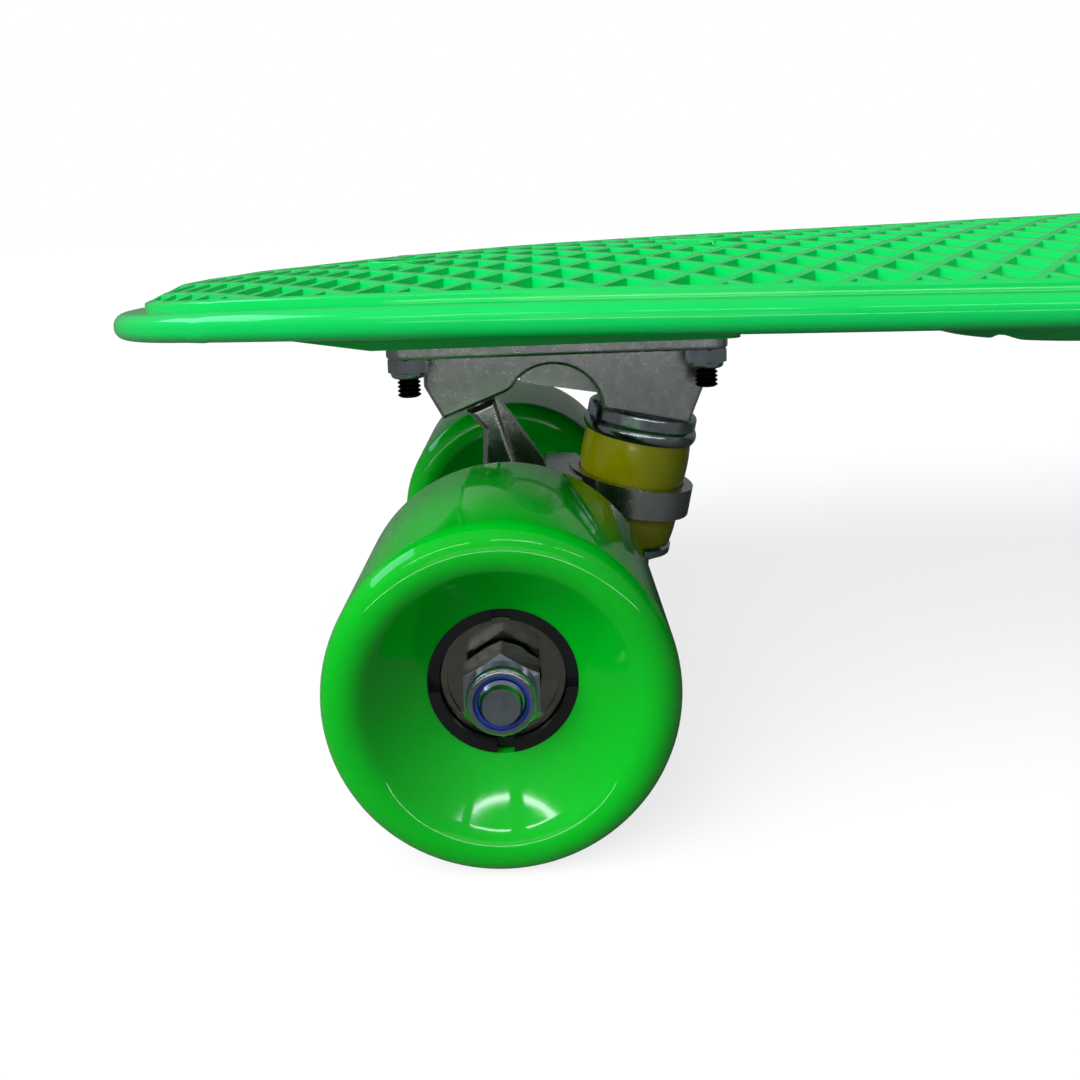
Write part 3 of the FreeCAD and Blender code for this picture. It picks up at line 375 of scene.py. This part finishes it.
# %% A block with the deck's plan
def plan_block(name, inset, bottom, top, nose_cut=None):
    """A flat block with the deck's plan, drawn in by the inset, with its nose cut square at nose_cut."""
    bpy.ops.object.select_all(action="DESELECT")
    bpy.ops.mesh.primitive_circle_add(vertices=128, radius=1, fill_type="NGON", location=(NOSE_CENTRE, 0, bottom))
    bpy.context.view_layer.objects.active.scale = (NOSE_ROUND - inset, HALF_WIDTH - inset, 1)
    block = new_piece(name)
    open_up(block)
    bpy.ops.mesh.select_all(action="SELECT")
    bpy.ops.mesh.bisect(plane_co=(NOSE_CENTRE, 0, 0), plane_no=(1, 0, 0), clear_outer=True)
    stations = [TAPER_X] + [TAPER_X + TAIL_TAPER * share for share in (0.16, 0.32, 0.48, 0.64, 0.78)] + [TAIL_X - inset]
    here = NOSE_CENTRE
    for x in stations:
        pick(block, "EDGE", lambda e: all(abs(v.co.x - here) < 1e-5 for v in e.verts))
        bpy.ops.mesh.extrude_region_move(TRANSFORM_OT_translate={"value": (x - here, 0, 0)})
        ratio = half_width(x, inset) / half_width(here, inset)
        bpy.ops.transform.resize(value=(1, ratio, 1), center_override=(x, 0, bottom))
        here = x
    bpy.ops.mesh.select_all(action="SELECT")
    bpy.ops.mesh.dissolve_faces()
    pick(block, "VERT", lambda v: abs(v.co.x - here) < 1e-5)
    turn = math.radians(90) + math.asin((TAIL_TAPER - inset) / (SWEEP - inset))
    reach = (TAIL_CORNER - inset) / math.tan(turn / 2)
    bpy.ops.mesh.bevel(offset=reach, offset_type="OFFSET", segments=14, affect="VERTICES")
    if nose_cut is not None:
        bpy.ops.mesh.select_all(action="SELECT")
        bpy.ops.mesh.bisect(plane_co=(nose_cut, 0, 0), plane_no=(1, 0, 0), clear_inner=True)
    bpy.ops.mesh.select_all(action="SELECT")
    bpy.ops.mesh.extrude_region_move(TRANSFORM_OT_translate={"value": (0, 0, top - bottom)})
    bpy.ops.mesh.select_all(action="SELECT")
    bpy.ops.mesh.normals_make_consistent(inside=False)
    close_up()
    return block


def slice_along(piece, step):
    """Cuts the piece's faces across at even steps along X, so that it can bend."""
    open_up(piece)
    for x in np.arange(NOSE_X + step / 2, TAIL_X, step):
        bpy.ops.mesh.select_all(action="SELECT")
        bpy.ops.mesh.bisect(plane_co=(x, 0, 0), plane_no=(1, 0, 0))
    close_up()


def level(edge):
    return abs(edge.verts[0].co.z - edge.verts[1].co.z) < 1e-6


# %% [markdown]
# ## The rim
#
# The deck is one plate of even thickness with a fully rounded edge, which draws the long
# highlights down its side. The plate is modelled flat: its edge is bevelled while every
# outline is still simple, then it is sliced across and each slice lifted to the height that
# was measured. Bending a flat model like this is far easier than drawing it curved.

# %% Model the rim plate
deck_board = plan_block("deck_board", 0, 0, RIM_THICKNESS)
open_up(deck_board)
pick(deck_board, "EDGE", level)
bpy.ops.mesh.bevel(offset=2.5 * MM, offset_type="OFFSET", segments=8, affect="EDGES", profile=0.5)
close_up()
slice_along(deck_board, 10 * MM)
lift(deck_board, lambda p: rim_under(p.x))
print("rim plate", len(deck_board.data.polygons), "faces")

# %% [markdown]
# ## The non-slip field
#
# The field is a raised panel with hundreds of small diamond pockets, about seven millimetres
# on a side, with thin ribs between them. A grid of squares turned by 45 degrees gives the
# diamonds. Each square is inset three times by itself: the first inset leaves the rib, the
# second rounds the rib's edge and the third sinks the pocket with sloping walls, as a mould
# needs. The panel is then cut to the deck's plan and framed with a thin border.

# %% Make one sheet of diamonds
CELL = 7.5 * MM
RIB = 1.5 * MM
POCKET_DEPTH = 2.4 * MM
FIELD_BASE = 2.6 * MM
FIELD_TOP = RIM_THICKNESS + FIELD_STEP
cells = 2 * math.ceil((TAIL_X + HALF_WIDTH) / math.sqrt(2) / CELL) + 2
bpy.ops.object.select_all(action="DESELECT")
bpy.ops.mesh.primitive_grid_add(
    x_subdivisions=cells, y_subdivisions=cells, size=cells * CELL,
    location=(FIELD_NOSE + 56 * CELL / math.sqrt(2), 0, FIELD_BASE), rotation=(0, 0, math.radians(45)),
)
field = new_piece("field")
open_up(field)
outside = pick(field, "FACE", lambda f: (
    abs(f.calc_center_median().y) > HALF_WIDTH + CELL
    or not NOSE_X - 2 * CELL < f.calc_center_median().x < TAIL_X + 2 * CELL
))
bpy.ops.mesh.delete(type="FACE")
bpy.ops.mesh.select_all(action="SELECT")
bpy.ops.mesh.extrude_region_move(TRANSFORM_OT_translate={"value": (0, 0, FIELD_TOP - FIELD_BASE)})
bpy.ops.mesh.select_all(action="SELECT")
bpy.ops.mesh.normals_make_consistent(inside=False)
diamonds = pick(field, "FACE", lambda f: f.normal.z > 0.9 and f.calc_center_median().z > FIELD_TOP - 1e-5)
bpy.ops.mesh.inset(thickness=RIB / 2 - 0.25 * MM, use_individual=True, use_even_offset=True)
bpy.ops.mesh.inset(thickness=0.25 * MM, depth=-0.14 * MM, use_individual=True, use_even_offset=True)
bpy.ops.mesh.inset(thickness=0.30 * MM, depth=-POCKET_DEPTH + 0.4 * MM, use_individual=True, use_even_offset=True)
bpy.ops.mesh.inset(thickness=0.45 * MM, depth=-0.26 * MM, use_individual=True, use_even_offset=True)
close_up()
print("diamonds:", diamonds, "removed:", outside, "faces:", len(field.data.polygons))

# %% Cut the sheet to the deck's plan
combine(field, plan_block("field_plan", RIM_BAND + 0.5 * MM, -5 * MM, 20 * MM, FIELD_NOSE + 0.5 * MM), "INTERSECT")
lift(field, lambda p: rim_under(p.x) + (crown(p.x, p.y) if p.z > FIELD_BASE + 1e-5 else 0))
print("field", len(field.data.polygons), "faces")

# %% Frame it with a thin border
border = plan_block("border", RIM_BAND, FIELD_BASE, FIELD_TOP + 0.03 * MM, FIELD_NOSE)
open_up(border)
pick(border, "EDGE", lambda e: level(e) and e.verts[0].co.z > FIELD_TOP)
bpy.ops.mesh.bevel(offset=0.4 * MM, segments=3, affect="EDGES")
close_up()
combine(border, plan_block("inner_plan", RIM_BAND + 1.3 * MM, -5 * MM, 20 * MM, FIELD_NOSE + 1.3 * MM), "DIFFERENCE")
slice_along(border, 10 * MM)
lift(border, lambda p: rim_under(p.x) + (crown(p.x, p.y) if p.z > RIM_THICKNESS + 0.2 * MM else 0))
print("border", len(border.data.polygons), "faces")

# %% Sink the plate under the field and set the field in
sunk = plan_block("sunk", RIM_BAND + 0.7 * MM, 4.0 * MM, 40 * MM, FIELD_NOSE + 0.7 * MM)
slice_along(sunk, 10 * MM)
lift(sunk, lambda p: rim_under(p.x))
combine(deck_board, sunk, "DIFFERENCE")
combine(deck_board, border, "UNION")
combine(deck_board, field, "UNION")
print("deck with its field", len(deck_board.data.polygons), "faces")

# %% [markdown]
# ## Underside: belly and truck pads
#
# Between the trucks the deck hangs down as a shallow keel, pocketed into a grid of ribs so
# that it cools evenly in its mould. Over each truck is a flat pad with a ramp towards the
# board's end. Both start as cubes whose ends are tapered. The keel's pockets are a cutter
# made once and copied over the grid.

# %% The keel
FRONT_AXLE_X = sum(corner.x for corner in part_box("axle_front")) / 2
REAR_AXLE_X = sum(corner.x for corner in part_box("axle_rear")) / 2
keel_low, keel_high = FRONT_AXLE_X + 81.5 * MM, REAR_AXLE_X - 81.5 * MM
KEEL_HALF, KEEL_DEPTH, KEEL_DRAFT = 58 * MM, 5.5 * MM, 9 * MM


def box_piece(name, low, high):
    """A cube with those two corners."""
    bpy.ops.object.select_all(action="DESELECT")
    low, high = Vector(low), Vector(high)
    bpy.ops.mesh.primitive_cube_add(size=1, location=(low + high) / 2)
    bpy.context.view_layer.objects.active.scale = high - low
    return new_piece(name)


def upright(edge):
    return abs(edge.verts[0].co.z - edge.verts[1].co.z) > 1e-4


keel = box_piece("keel", (keel_low, -KEEL_HALF, -KEEL_DEPTH), (keel_high, KEEL_HALF, 2.6 * MM))
open_up(keel)
pick(keel, "EDGE", upright)
bpy.ops.mesh.bevel(offset=22 * MM, segments=10, affect="EDGES")
pick(keel, "FACE", lambda f: f.normal.z < -0.9)
keel_length = keel_high - keel_low
shrink = (1 - 2 * KEEL_DRAFT / keel_length, 1 - KEEL_DRAFT / KEEL_HALF, 1)
bpy.ops.transform.resize(value=shrink, center_override=((keel_low + keel_high) / 2, 0, -KEEL_DEPTH))
pick(keel, "EDGE", lambda e: level(e) and e.verts[0].co.z < 0)
bpy.ops.mesh.bevel(offset=1.2 * MM, segments=3, affect="EDGES")
close_up()
print("keel", round(keel_length, 3), "m long")

# %% Its pockets
KEEL_RIB, KEEL_MARGIN = 2.6 * MM, 13 * MM
pocket_x = (keel_length - 2 * KEEL_MARGIN - 7 * KEEL_RIB) / 8
pocket_y = (2 * KEEL_HALF - 2 * KEEL_MARGIN - 3 * KEEL_RIB) / 4
cutters = []
for column in range(8):
    for row in range(4):
        x = keel_low + KEEL_MARGIN + column * (pocket_x + KEEL_RIB)
        y = -KEEL_HALF + KEEL_MARGIN + row * (pocket_y + KEEL_RIB)
        if not cutters:
            cutter = box_piece("pockets", (x, y, -KEEL_DEPTH - 1 * MM), (x + pocket_x, y + pocket_y, 1.8 * MM))
            open_up(cutter)
            pick(cutter, "EDGE", upright)
            bpy.ops.mesh.bevel(offset=1.8 * MM, segments=3, affect="EDGES")
            pick(cutter, "EDGE", lambda e: level(e) and e.verts[0].co.z > 0)
            bpy.ops.mesh.bevel(offset=0.8 * MM, segments=2, affect="EDGES")
            close_up()
            first = Vector((x, y, 0))
        else:
            cutter = cutters[0].copy()
            cutter.data = cutters[0].data.copy()
            bpy.context.scene.collection.objects.link(cutter)
            cutter.data.transform(Matrix.Translation(Vector((x, y, 0)) - first))
        cutters.append(cutter)
pockets = join_pieces(cutters, "pockets")
slice_along(keel, 10 * MM)
lift(keel, lambda p: rim_under(p.x))
slice_along(pockets, 10 * MM)
lift(pockets, lambda p: rim_under(p.x))
print("pocket", round(pocket_x, 4), "by", round(pocket_y, 4))


# %% The pads over the trucks
def truck_pad(name, bolts, outwards):
    """The flat pad round a truck's bolts, with its ramp towards the board's end."""
    middle = sum(corner.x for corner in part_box(bolts)) / 2
    low, high = middle - 38 * MM, middle + 38 * MM
    top = rim_under(middle) + 2.6 * MM
    pad = box_piece(name, (low, -29 * MM, PAD_FOOT), (high, 29 * MM, top))
    end = low if outwards < 0 else high
    tip = end + outwards * 30 * MM
    open_up(pad)
    pick(pad, "FACE", lambda f: f.normal.x * outwards > 0.9)
    bpy.ops.mesh.extrude_region_move(TRANSFORM_OT_translate={"value": (tip - end, 0, 0)})
    pick(pad, "VERT", lambda v: abs(v.co.x - tip) < 1e-5 and v.co.z < PAD_FOOT + 1e-5)
    bpy.ops.transform.translate(value=(0, 0, rim_under(tip) + 0.3 * MM - PAD_FOOT))
    pick(pad, "VERT", lambda v: abs(v.co.x - tip) < 1e-5 and v.co.z > rim_under(tip) + 1 * MM)
    bpy.ops.transform.translate(value=(0, 0, rim_under(tip) + 2.6 * MM - top))
    pick(pad, "EDGE", lambda e: upright(e) and abs(e.verts[0].co.x - e.verts[1].co.x) < 1e-5 and abs(e.verts[0].co.x - tip) > 1 * MM and abs(e.verts[0].co.x - end) > 1 * MM)
    bpy.ops.mesh.bevel(offset=3 * MM, segments=4, affect="EDGES")
    close_up()
    tidy_normals(pad)
    return pad


combine(deck_board, keel, "UNION")
combine(deck_board, truck_pad("pad_front", "deck_bolts_front", -1), "UNION")
combine(deck_board, truck_pad("pad_rear", "deck_bolts_rear", 1), "UNION")
combine(deck_board, pockets, "DIFFERENCE")
print("deck with its underside", len(deck_board.data.polygons), "faces")

# %% [markdown]
# ## Screw seats
#
# Each of the eight screws sits in a round boss in the field, with a counterbore for its head
# and a hole through the plate. The bosses and both kinds of cutter are plain cylinders, only
# the bosses with softened edges, copied to the places of the CAD screws.


# %% Bosses, counterbores and holes
def screw_places(bolts, head_radius=4.6 * MM):
    low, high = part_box(bolts)
    return [(x, y) for x in (low.x + head_radius, high.x - head_radius)
            for y in (low.y + head_radius, high.y - head_radius)]


def pegs(name, places, radius, height_at, soften=0.0):
    """Cylinders at those places, each from one height to another."""
    made = []
    for x, y in places:
        low, high = height_at(x, y)
        bpy.ops.object.select_all(action="DESELECT")
        bpy.ops.mesh.primitive_cylinder_add(
            vertices=48, radius=radius, depth=high - low, location=(x, y, (low + high) / 2)
        )
        peg = new_piece(name)
        if soften:
            open_up(peg)
            pick(peg, "EDGE", lambda e: level(e) and e.verts[0].co.z > high - 1e-5)
            bpy.ops.mesh.bevel(offset=soften, segments=3, affect="EDGES")
            close_up()
        made.append(peg)
    return join_pieces(made, name)


places = screw_places("deck_bolts_front") + screw_places("deck_bolts_rear")
field_top = lambda x, y: rim_under(x) + FIELD_TOP + crown(x, y)
head_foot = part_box("deck_bolts_front")[1].z - 2.7 * MM
combine(deck_board, pegs("bosses", places, 7.5 * MM, lambda x, y: (rim_under(x) + 2.7 * MM, field_top(x, y) + 0.12 * MM), 0.3 * MM), "UNION")
combine(deck_board, pegs("counterbores", places, 5.4 * MM, lambda x, y: (head_foot, head_foot + 0.1)), "DIFFERENCE")
combine(deck_board, pegs("screw_holes", places, 2.6 * MM, lambda x, y: (0.05, 0.2)), "DIFFERENCE")
tidy_normals(deck_board)
smooth(deck_board, 35)
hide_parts("deck")
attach(deck_board, "board")

# %% [markdown]
# ## Turned pieces
#
# A tyre and a bushing are both round, so each is a profile spun about an axis. The profile is
# drawn as a lathe operator would cut it, point by point, by extruding a single corner, and the
# spin closes the ring.


# %% Spin a profile
def turned(name, profile, steps):
    """A closed ring: the profile's (radius, height) points, spun about the Z axis."""
    bpy.ops.object.select_all(action="DESELECT")
    bpy.ops.mesh.primitive_plane_add(size=1 * MM, location=(0, 0, 0))
    piece = new_piece(name)
    open_up(piece)
    bpy.ops.mesh.select_mode(type="VERT")
    bpy.ops.mesh.select_all(action="SELECT")
    bpy.ops.mesh.merge(type="CENTER")
    bpy.ops.transform.translate(value=(profile[0][0], 0, profile[0][1]))
    for (r0, z0), (r1, z1) in zip(profile, profile[1:]):
        bpy.ops.mesh.extrude_region_move(TRANSFORM_OT_translate={"value": (r1 - r0, 0, z1 - z0)})
    bpy.ops.mesh.select_all(action="SELECT")
    start, end = Vector((profile[0][0], 0, profile[0][1])), Vector((profile[-1][0], 0, profile[-1][1]))
    pick(piece, "VERT", lambda v: (v.co - start).length < 1e-7 or (v.co - end).length < 1e-7)
    bpy.ops.mesh.edge_face_add()
    bpy.ops.mesh.select_all(action="SELECT")
    bpy.ops.mesh.spin(steps=steps, angle=2 * math.pi, center=(0, 0, 0), axis=(0, 0, 1))
    close_up()
    tidy_normals(piece)
    return piece


def bend(centre, radius, start, end, steps):
    """Points along an arc about a centre, from one angle to another, in degrees."""
    angles = [math.radians(start + (end - start) * k / steps) for k in range(steps + 1)]
    return [(centre[0] + radius * math.cos(a), centre[1] + radius * math.sin(a)) for a in angles]


def curve_through(first, control, last, steps):
    """Points along a soft curve from first to last, drawn towards the control point."""
    points = []
    for k in range(steps + 1):
        t = k / steps
        points.append(tuple(
            first[i] * (1 - t) ** 2 + 2 * control[i] * t * (1 - t) + last[i] * t ** 2 for i in (0, 1)
        ))
    return points


def thinned(points):
    """The points without those that repeat the one before."""
    kept = [points[0]]
    for point in points[1:]:
        if math.dist(point, kept[-1]) > 1e-6:
            kept.append(point)
    return kept


# %% [markdown]
# ## The tyres
#
# A cruiser wheel is poured urethane round a stiff core. Its tread is flat, its lips are
# rounded, and each face is dished down to the core in one soft curve, which is what bends the
# window's reflection in it. One tyre is made and copied to the four CAD wheels.

# %% Model one tyre
tyre_low, tyre_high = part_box("tyre_front_left")
core_low, core_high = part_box("core_front_left")
TYRE_RADIUS = (tyre_high.x - tyre_low.x) / 2
TYRE_HALF = (tyre_high.y - tyre_low.y) / 2
CORE_RADIUS = (core_high.x - core_low.x) / 2
CORE_HALF = (core_high.y - core_low.y) / 2
LIP = 4.5 * MM
lip_centre = (TYRE_RADIUS - LIP, TYRE_HALF - LIP)
dish_top = bend(lip_centre, LIP, 132, 132, 1)[0]
face = curve_through((CORE_RADIUS, CORE_HALF), (CORE_RADIUS + 3.6 * MM, CORE_HALF + 2.3 * MM), dish_top, 14)
lip = bend(lip_centre, LIP, 132, 0, 16)
half_profile = thinned([(CORE_RADIUS, 0)] + face + lip)
profile = thinned(half_profile + [(r, -z) for r, z in reversed(half_profile)])
tyre = turned("tyre_shape", profile[:-1] if math.dist(profile[0], profile[-1]) < 1e-7 else profile, 120)
print("tyre radius", round(TYRE_RADIUS, 4), "half width", round(TYRE_HALF, 4), "core", round(CORE_RADIUS, 4))


# %% Copy it to the four wheels
def middle_of(node):
    low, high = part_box(node)
    return (low + high) / 2


tyres = []
for end in ("front", "rear"):
    for side in ("left", "right"):
        piece = tyre.copy()
        piece.data = tyre.data.copy()
        piece.name = piece.data.name = f"tyre_poured_{end}_{side}"
        bpy.context.scene.collection.objects.link(piece)
        place = middle_of(f"tyre_{end}_{side}")
        piece.data.transform(Matrix.Translation(place) @ Matrix.Rotation(math.radians(90), 4, "X"))
        smooth(piece, 40)
        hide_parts(f"tyre_{end}_{side}")
        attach(piece, f"wheel_{end}_{side}")
        tyres.append(piece)
bpy.data.objects.remove(tyre)
print([t.name for t in tyres])

# %% [markdown]
# ## The bushings
#
# Two rings of soft urethane on each kingpin hold the truck straight and squash as it leans.
# Under the nut's pull they swell a little in the middle, which a plain cylinder doesn't show.

# %% Model and place the bushings
KINGPIN_TILT = 11.8
RING_FROM_AXLE = Vector((28.5, 0, 14.6)) * MM
KINGPIN_HOLE = 5.05 * MM
BUSHING_RADIUS, BUSHING_NECK = 12.5 * MM, 11.9 * MM
UPPER_FOOT, UPPER_TOP = 1.7 * MM, 18.4 * MM
LOWER_TOP, LOWER_FOOT = -1.7 * MM, -11.2 * MM
upper = thinned(
    [(KINGPIN_HOLE, UPPER_FOOT), (BUSHING_NECK, UPPER_FOOT), (BUSHING_RADIUS, 2.3 * MM)]
    + curve_through((BUSHING_RADIUS, 3.4 * MM), (BUSHING_RADIUS + 0.6 * MM, 8.3 * MM), (BUSHING_RADIUS, 13.0 * MM), 10)
    + [(BUSHING_RADIUS, 15.8 * MM), (BUSHING_NECK, 16.4 * MM), (BUSHING_NECK, UPPER_TOP), (KINGPIN_HOLE, UPPER_TOP)]
)
lower = thinned(
    [(KINGPIN_HOLE, LOWER_TOP), (BUSHING_RADIUS, LOWER_TOP), (BUSHING_RADIUS, -3.3 * MM)]
    + curve_through((BUSHING_RADIUS, -3.4 * MM), (BUSHING_RADIUS + 0.2 * MM, -7.0 * MM), (BUSHING_NECK, -10.8 * MM), 10)
    + [(BUSHING_NECK - 0.4 * MM, LOWER_FOOT), (KINGPIN_HOLE, LOWER_FOOT)]
)
bushings = []
for end, axle_x, turn in (("front", FRONT_AXLE_X, 0), ("rear", REAR_AXLE_X, 180)):
    axle_z = middle_of(f"axle_{end}").z
    heading = Matrix.Rotation(math.radians(turn), 4, "Z")
    ring = Vector((axle_x, 0, axle_z)) + heading @ RING_FROM_AXLE
    stand = Matrix.Translation(ring) @ heading @ Matrix.Rotation(math.radians(KINGPIN_TILT), 4, "Y")
    for name, shape, soft_end, hard_end in (
        ("board_side", upper, UPPER_TOP, 3.3 * MM), ("road_side", lower, LOWER_FOOT, -3.3 * MM)
    ):
        piece = turned(f"{name}_bushing_poured_{end}", shape, 72)
        piece.data.transform(stand)
        smooth(piece, 40)
        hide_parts(f"{name}_bushing_{end}")
        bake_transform(piece)
        bushings.append(piece)
print([b.name for b in bushings])

# %% [markdown]
# ## Finishes
#
# Each finish starts from the real material and how its surface was made. They share one
# recipe: a fine bump for the surface itself, a slow change of roughness for handling marks,
# and a slow change of colour. The numbers are each material's own.


# %% A recipe for a finish
def finish(name, light, dark, roughness, metallic=0.0, patch=20.0, grain=0.4, bump=0.1, stretch=(1, 1, 1), **constants):
    """A material whose colour drifts over patches and whose surface has a grain, both sized in millimetres."""
    material = bpy.data.materials.new(name)
    material.use_nodes = True
    shader = material.node_tree.nodes["Principled BSDF"]
    where = add_node(material, "ShaderNodeTexCoord").outputs["Object"]
    drift = add_node(material, "ShaderNodeTexNoise", {"Scale": 1 / (patch * MM), "Detail": 4.0, "Roughness": 0.6}, Vector=where)
    colour = add_node(material, "ShaderNodeValToRGB", None, Fac=drift.outputs["Fac"])
    colour.color_ramp.elements[0].position, colour.color_ramp.elements[1].position = 0.30, 0.72
    colour.color_ramp.elements[0].color, colour.color_ramp.elements[1].color = linear(dark), linear(light)
    material.node_tree.links.new(colour.outputs["Color"], shader.inputs["Base Color"])
    drawn = add_node(material, "ShaderNodeMapping", {"Scale": stretch}, Vector=where)
    marks = add_node(material, "ShaderNodeTexNoise", {"Scale": 1 / (4 * grain * MM), "Detail": 5.0, "Roughness": 0.7}, Vector=drawn.outputs["Vector"])
    spread = add_node(material, "ShaderNodeMapRange", {"From Min": 0.3, "From Max": 0.75, "To Min": roughness[0], "To Max": roughness[1]}, Value=marks.outputs["Fac"])
    material.node_tree.links.new(spread.outputs["Result"], shader.inputs["Roughness"])
    fine = add_node(material, "ShaderNodeTexNoise", {"Scale": 1 / (grain * MM), "Detail": 3.0, "Roughness": 0.55}, Vector=drawn.outputs["Vector"])
    relief = add_node(material, "ShaderNodeBump", {"Strength": bump, "Distance": 0.05 * MM}, Height=fine.outputs["Fac"])
    material.node_tree.links.new(relief.outputs["Normal"], shader.inputs["Normal"])
    shader.inputs["Metallic"].default_value = metallic
    for socket, value in constants.items():
        shader.inputs[socket.replace("_", " ")].default_value = value
    return material


moulded_polypropylene = finish(
    "moulded_polypropylene", "#00BC55", "#00B34D", (0.07, 0.13), patch=60, grain=0.5, bump=0.06, IOR=1.49,
)
poured_urethane = finish(
    "poured_urethane", "#00A41B", "#009A17", (0.04, 0.08), patch=30, grain=3.0, bump=0.04, IOR=1.50,
    Subsurface_Weight=0.5, Subsurface_Radius=(0.25, 1.0, 0.3), Subsurface_Scale=0.006,
)
olive_urethane = finish(
    "olive_urethane", "#9A9A00", "#8A8E00", (0.12, 0.20), patch=12, grain=2.0, bump=0.04, IOR=1.50,
    Subsurface_Weight=0.5, Subsurface_Radius=(1.0, 0.9, 0.1), Subsurface_Scale=0.003,
)
cast_aluminium = finish(
    "tumbled_cast_aluminium", "#B4B6B4", "#A2A5A3", (0.18, 0.32), 1.0, patch=12, grain=0.5, bump=0.15,
)
zinc_plating = finish(
    "bright_zinc_plating", "#B4BCC6", "#9CA2A6", (0.10, 0.22), 1.0, patch=3, grain=0.35, bump=0.12,
)
bearing_steel = finish(
    "ground_bearing_steel", "#938F84", "#7F7B70", (0.12, 0.22), 1.0, patch=3, grain=0.25, bump=0.08,
)
black_oxide_steel = finish(
    "black_oxide_steel", "#1E1F22", "#121315", (0.28, 0.45), 1.0, patch=5, grain=0.3, bump=0.2,
)
black_nylon = finish(
    "glass_filled_black_nylon", "#0B0E10", "#070909", (0.18, 0.3), patch=8, grain=0.3, bump=0.15, IOR=1.53,
)
blue_nylon = finish(
    "blue_nylon", "#173C9E", "#112F82", (0.30, 0.42), patch=4, grain=0.3, bump=0.15, IOR=1.53,
)
cup_rubber = finish(
    "moulded_rubber", "#1A1A1A", "#121212", (0.55, 0.75), patch=6, grain=0.4, bump=0.3, IOR=1.52,
)
print(len(bpy.data.materials), "materials")

# %% Paint the new pieces and the CAD nodes
for piece, paint in [(deck_board, moulded_polypropylene)] + [(t, poured_urethane) for t in tyres] + [(b, olive_urethane) for b in bushings]:
    piece.data.materials.clear()
    piece.data.materials.append(paint)

SLOT_PAINTS = {
    "deck": moulded_polypropylene, "tyre": poured_urethane, "board_side_bushing": olive_urethane,
    "road_side_bushing": olive_urethane, "baseplate": cast_aluminium, "hanger": cast_aluminium,
    "pivot_cup": cup_rubber, "core": black_nylon, "axle_nut_inserts": blue_nylon,
    "kingpin_nut_inserts": blue_nylon, "deck_nut_inserts": blue_nylon, "deck_bolts": black_oxide_steel,
    "bearing_inner_rings": bearing_steel, "bearing_outer_rings": bearing_steel,
    "bearing_shields": bearing_steel, "bearing_balls": bearing_steel,
}
painted = {}
for name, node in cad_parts.items():
    kinds = [kind for kind in SLOT_PAINTS if name == kind or name.startswith(kind + "_")]
    paint = SLOT_PAINTS[max(kinds, key=len)] if kinds else zinc_plating
    if name.startswith(("deck_nuts", "kingpin_nut_front", "kingpin_nut_rear")):
        paint = zinc_plating
    if not node.material_slots:
        node.data.materials.append(paint)
    for node_slot in node.material_slots:
        node_slot.material = paint
    painted.setdefault(paint.name, []).append(name)
for paint_name, names in painted.items():
    print(paint_name, len(names), names[:4])
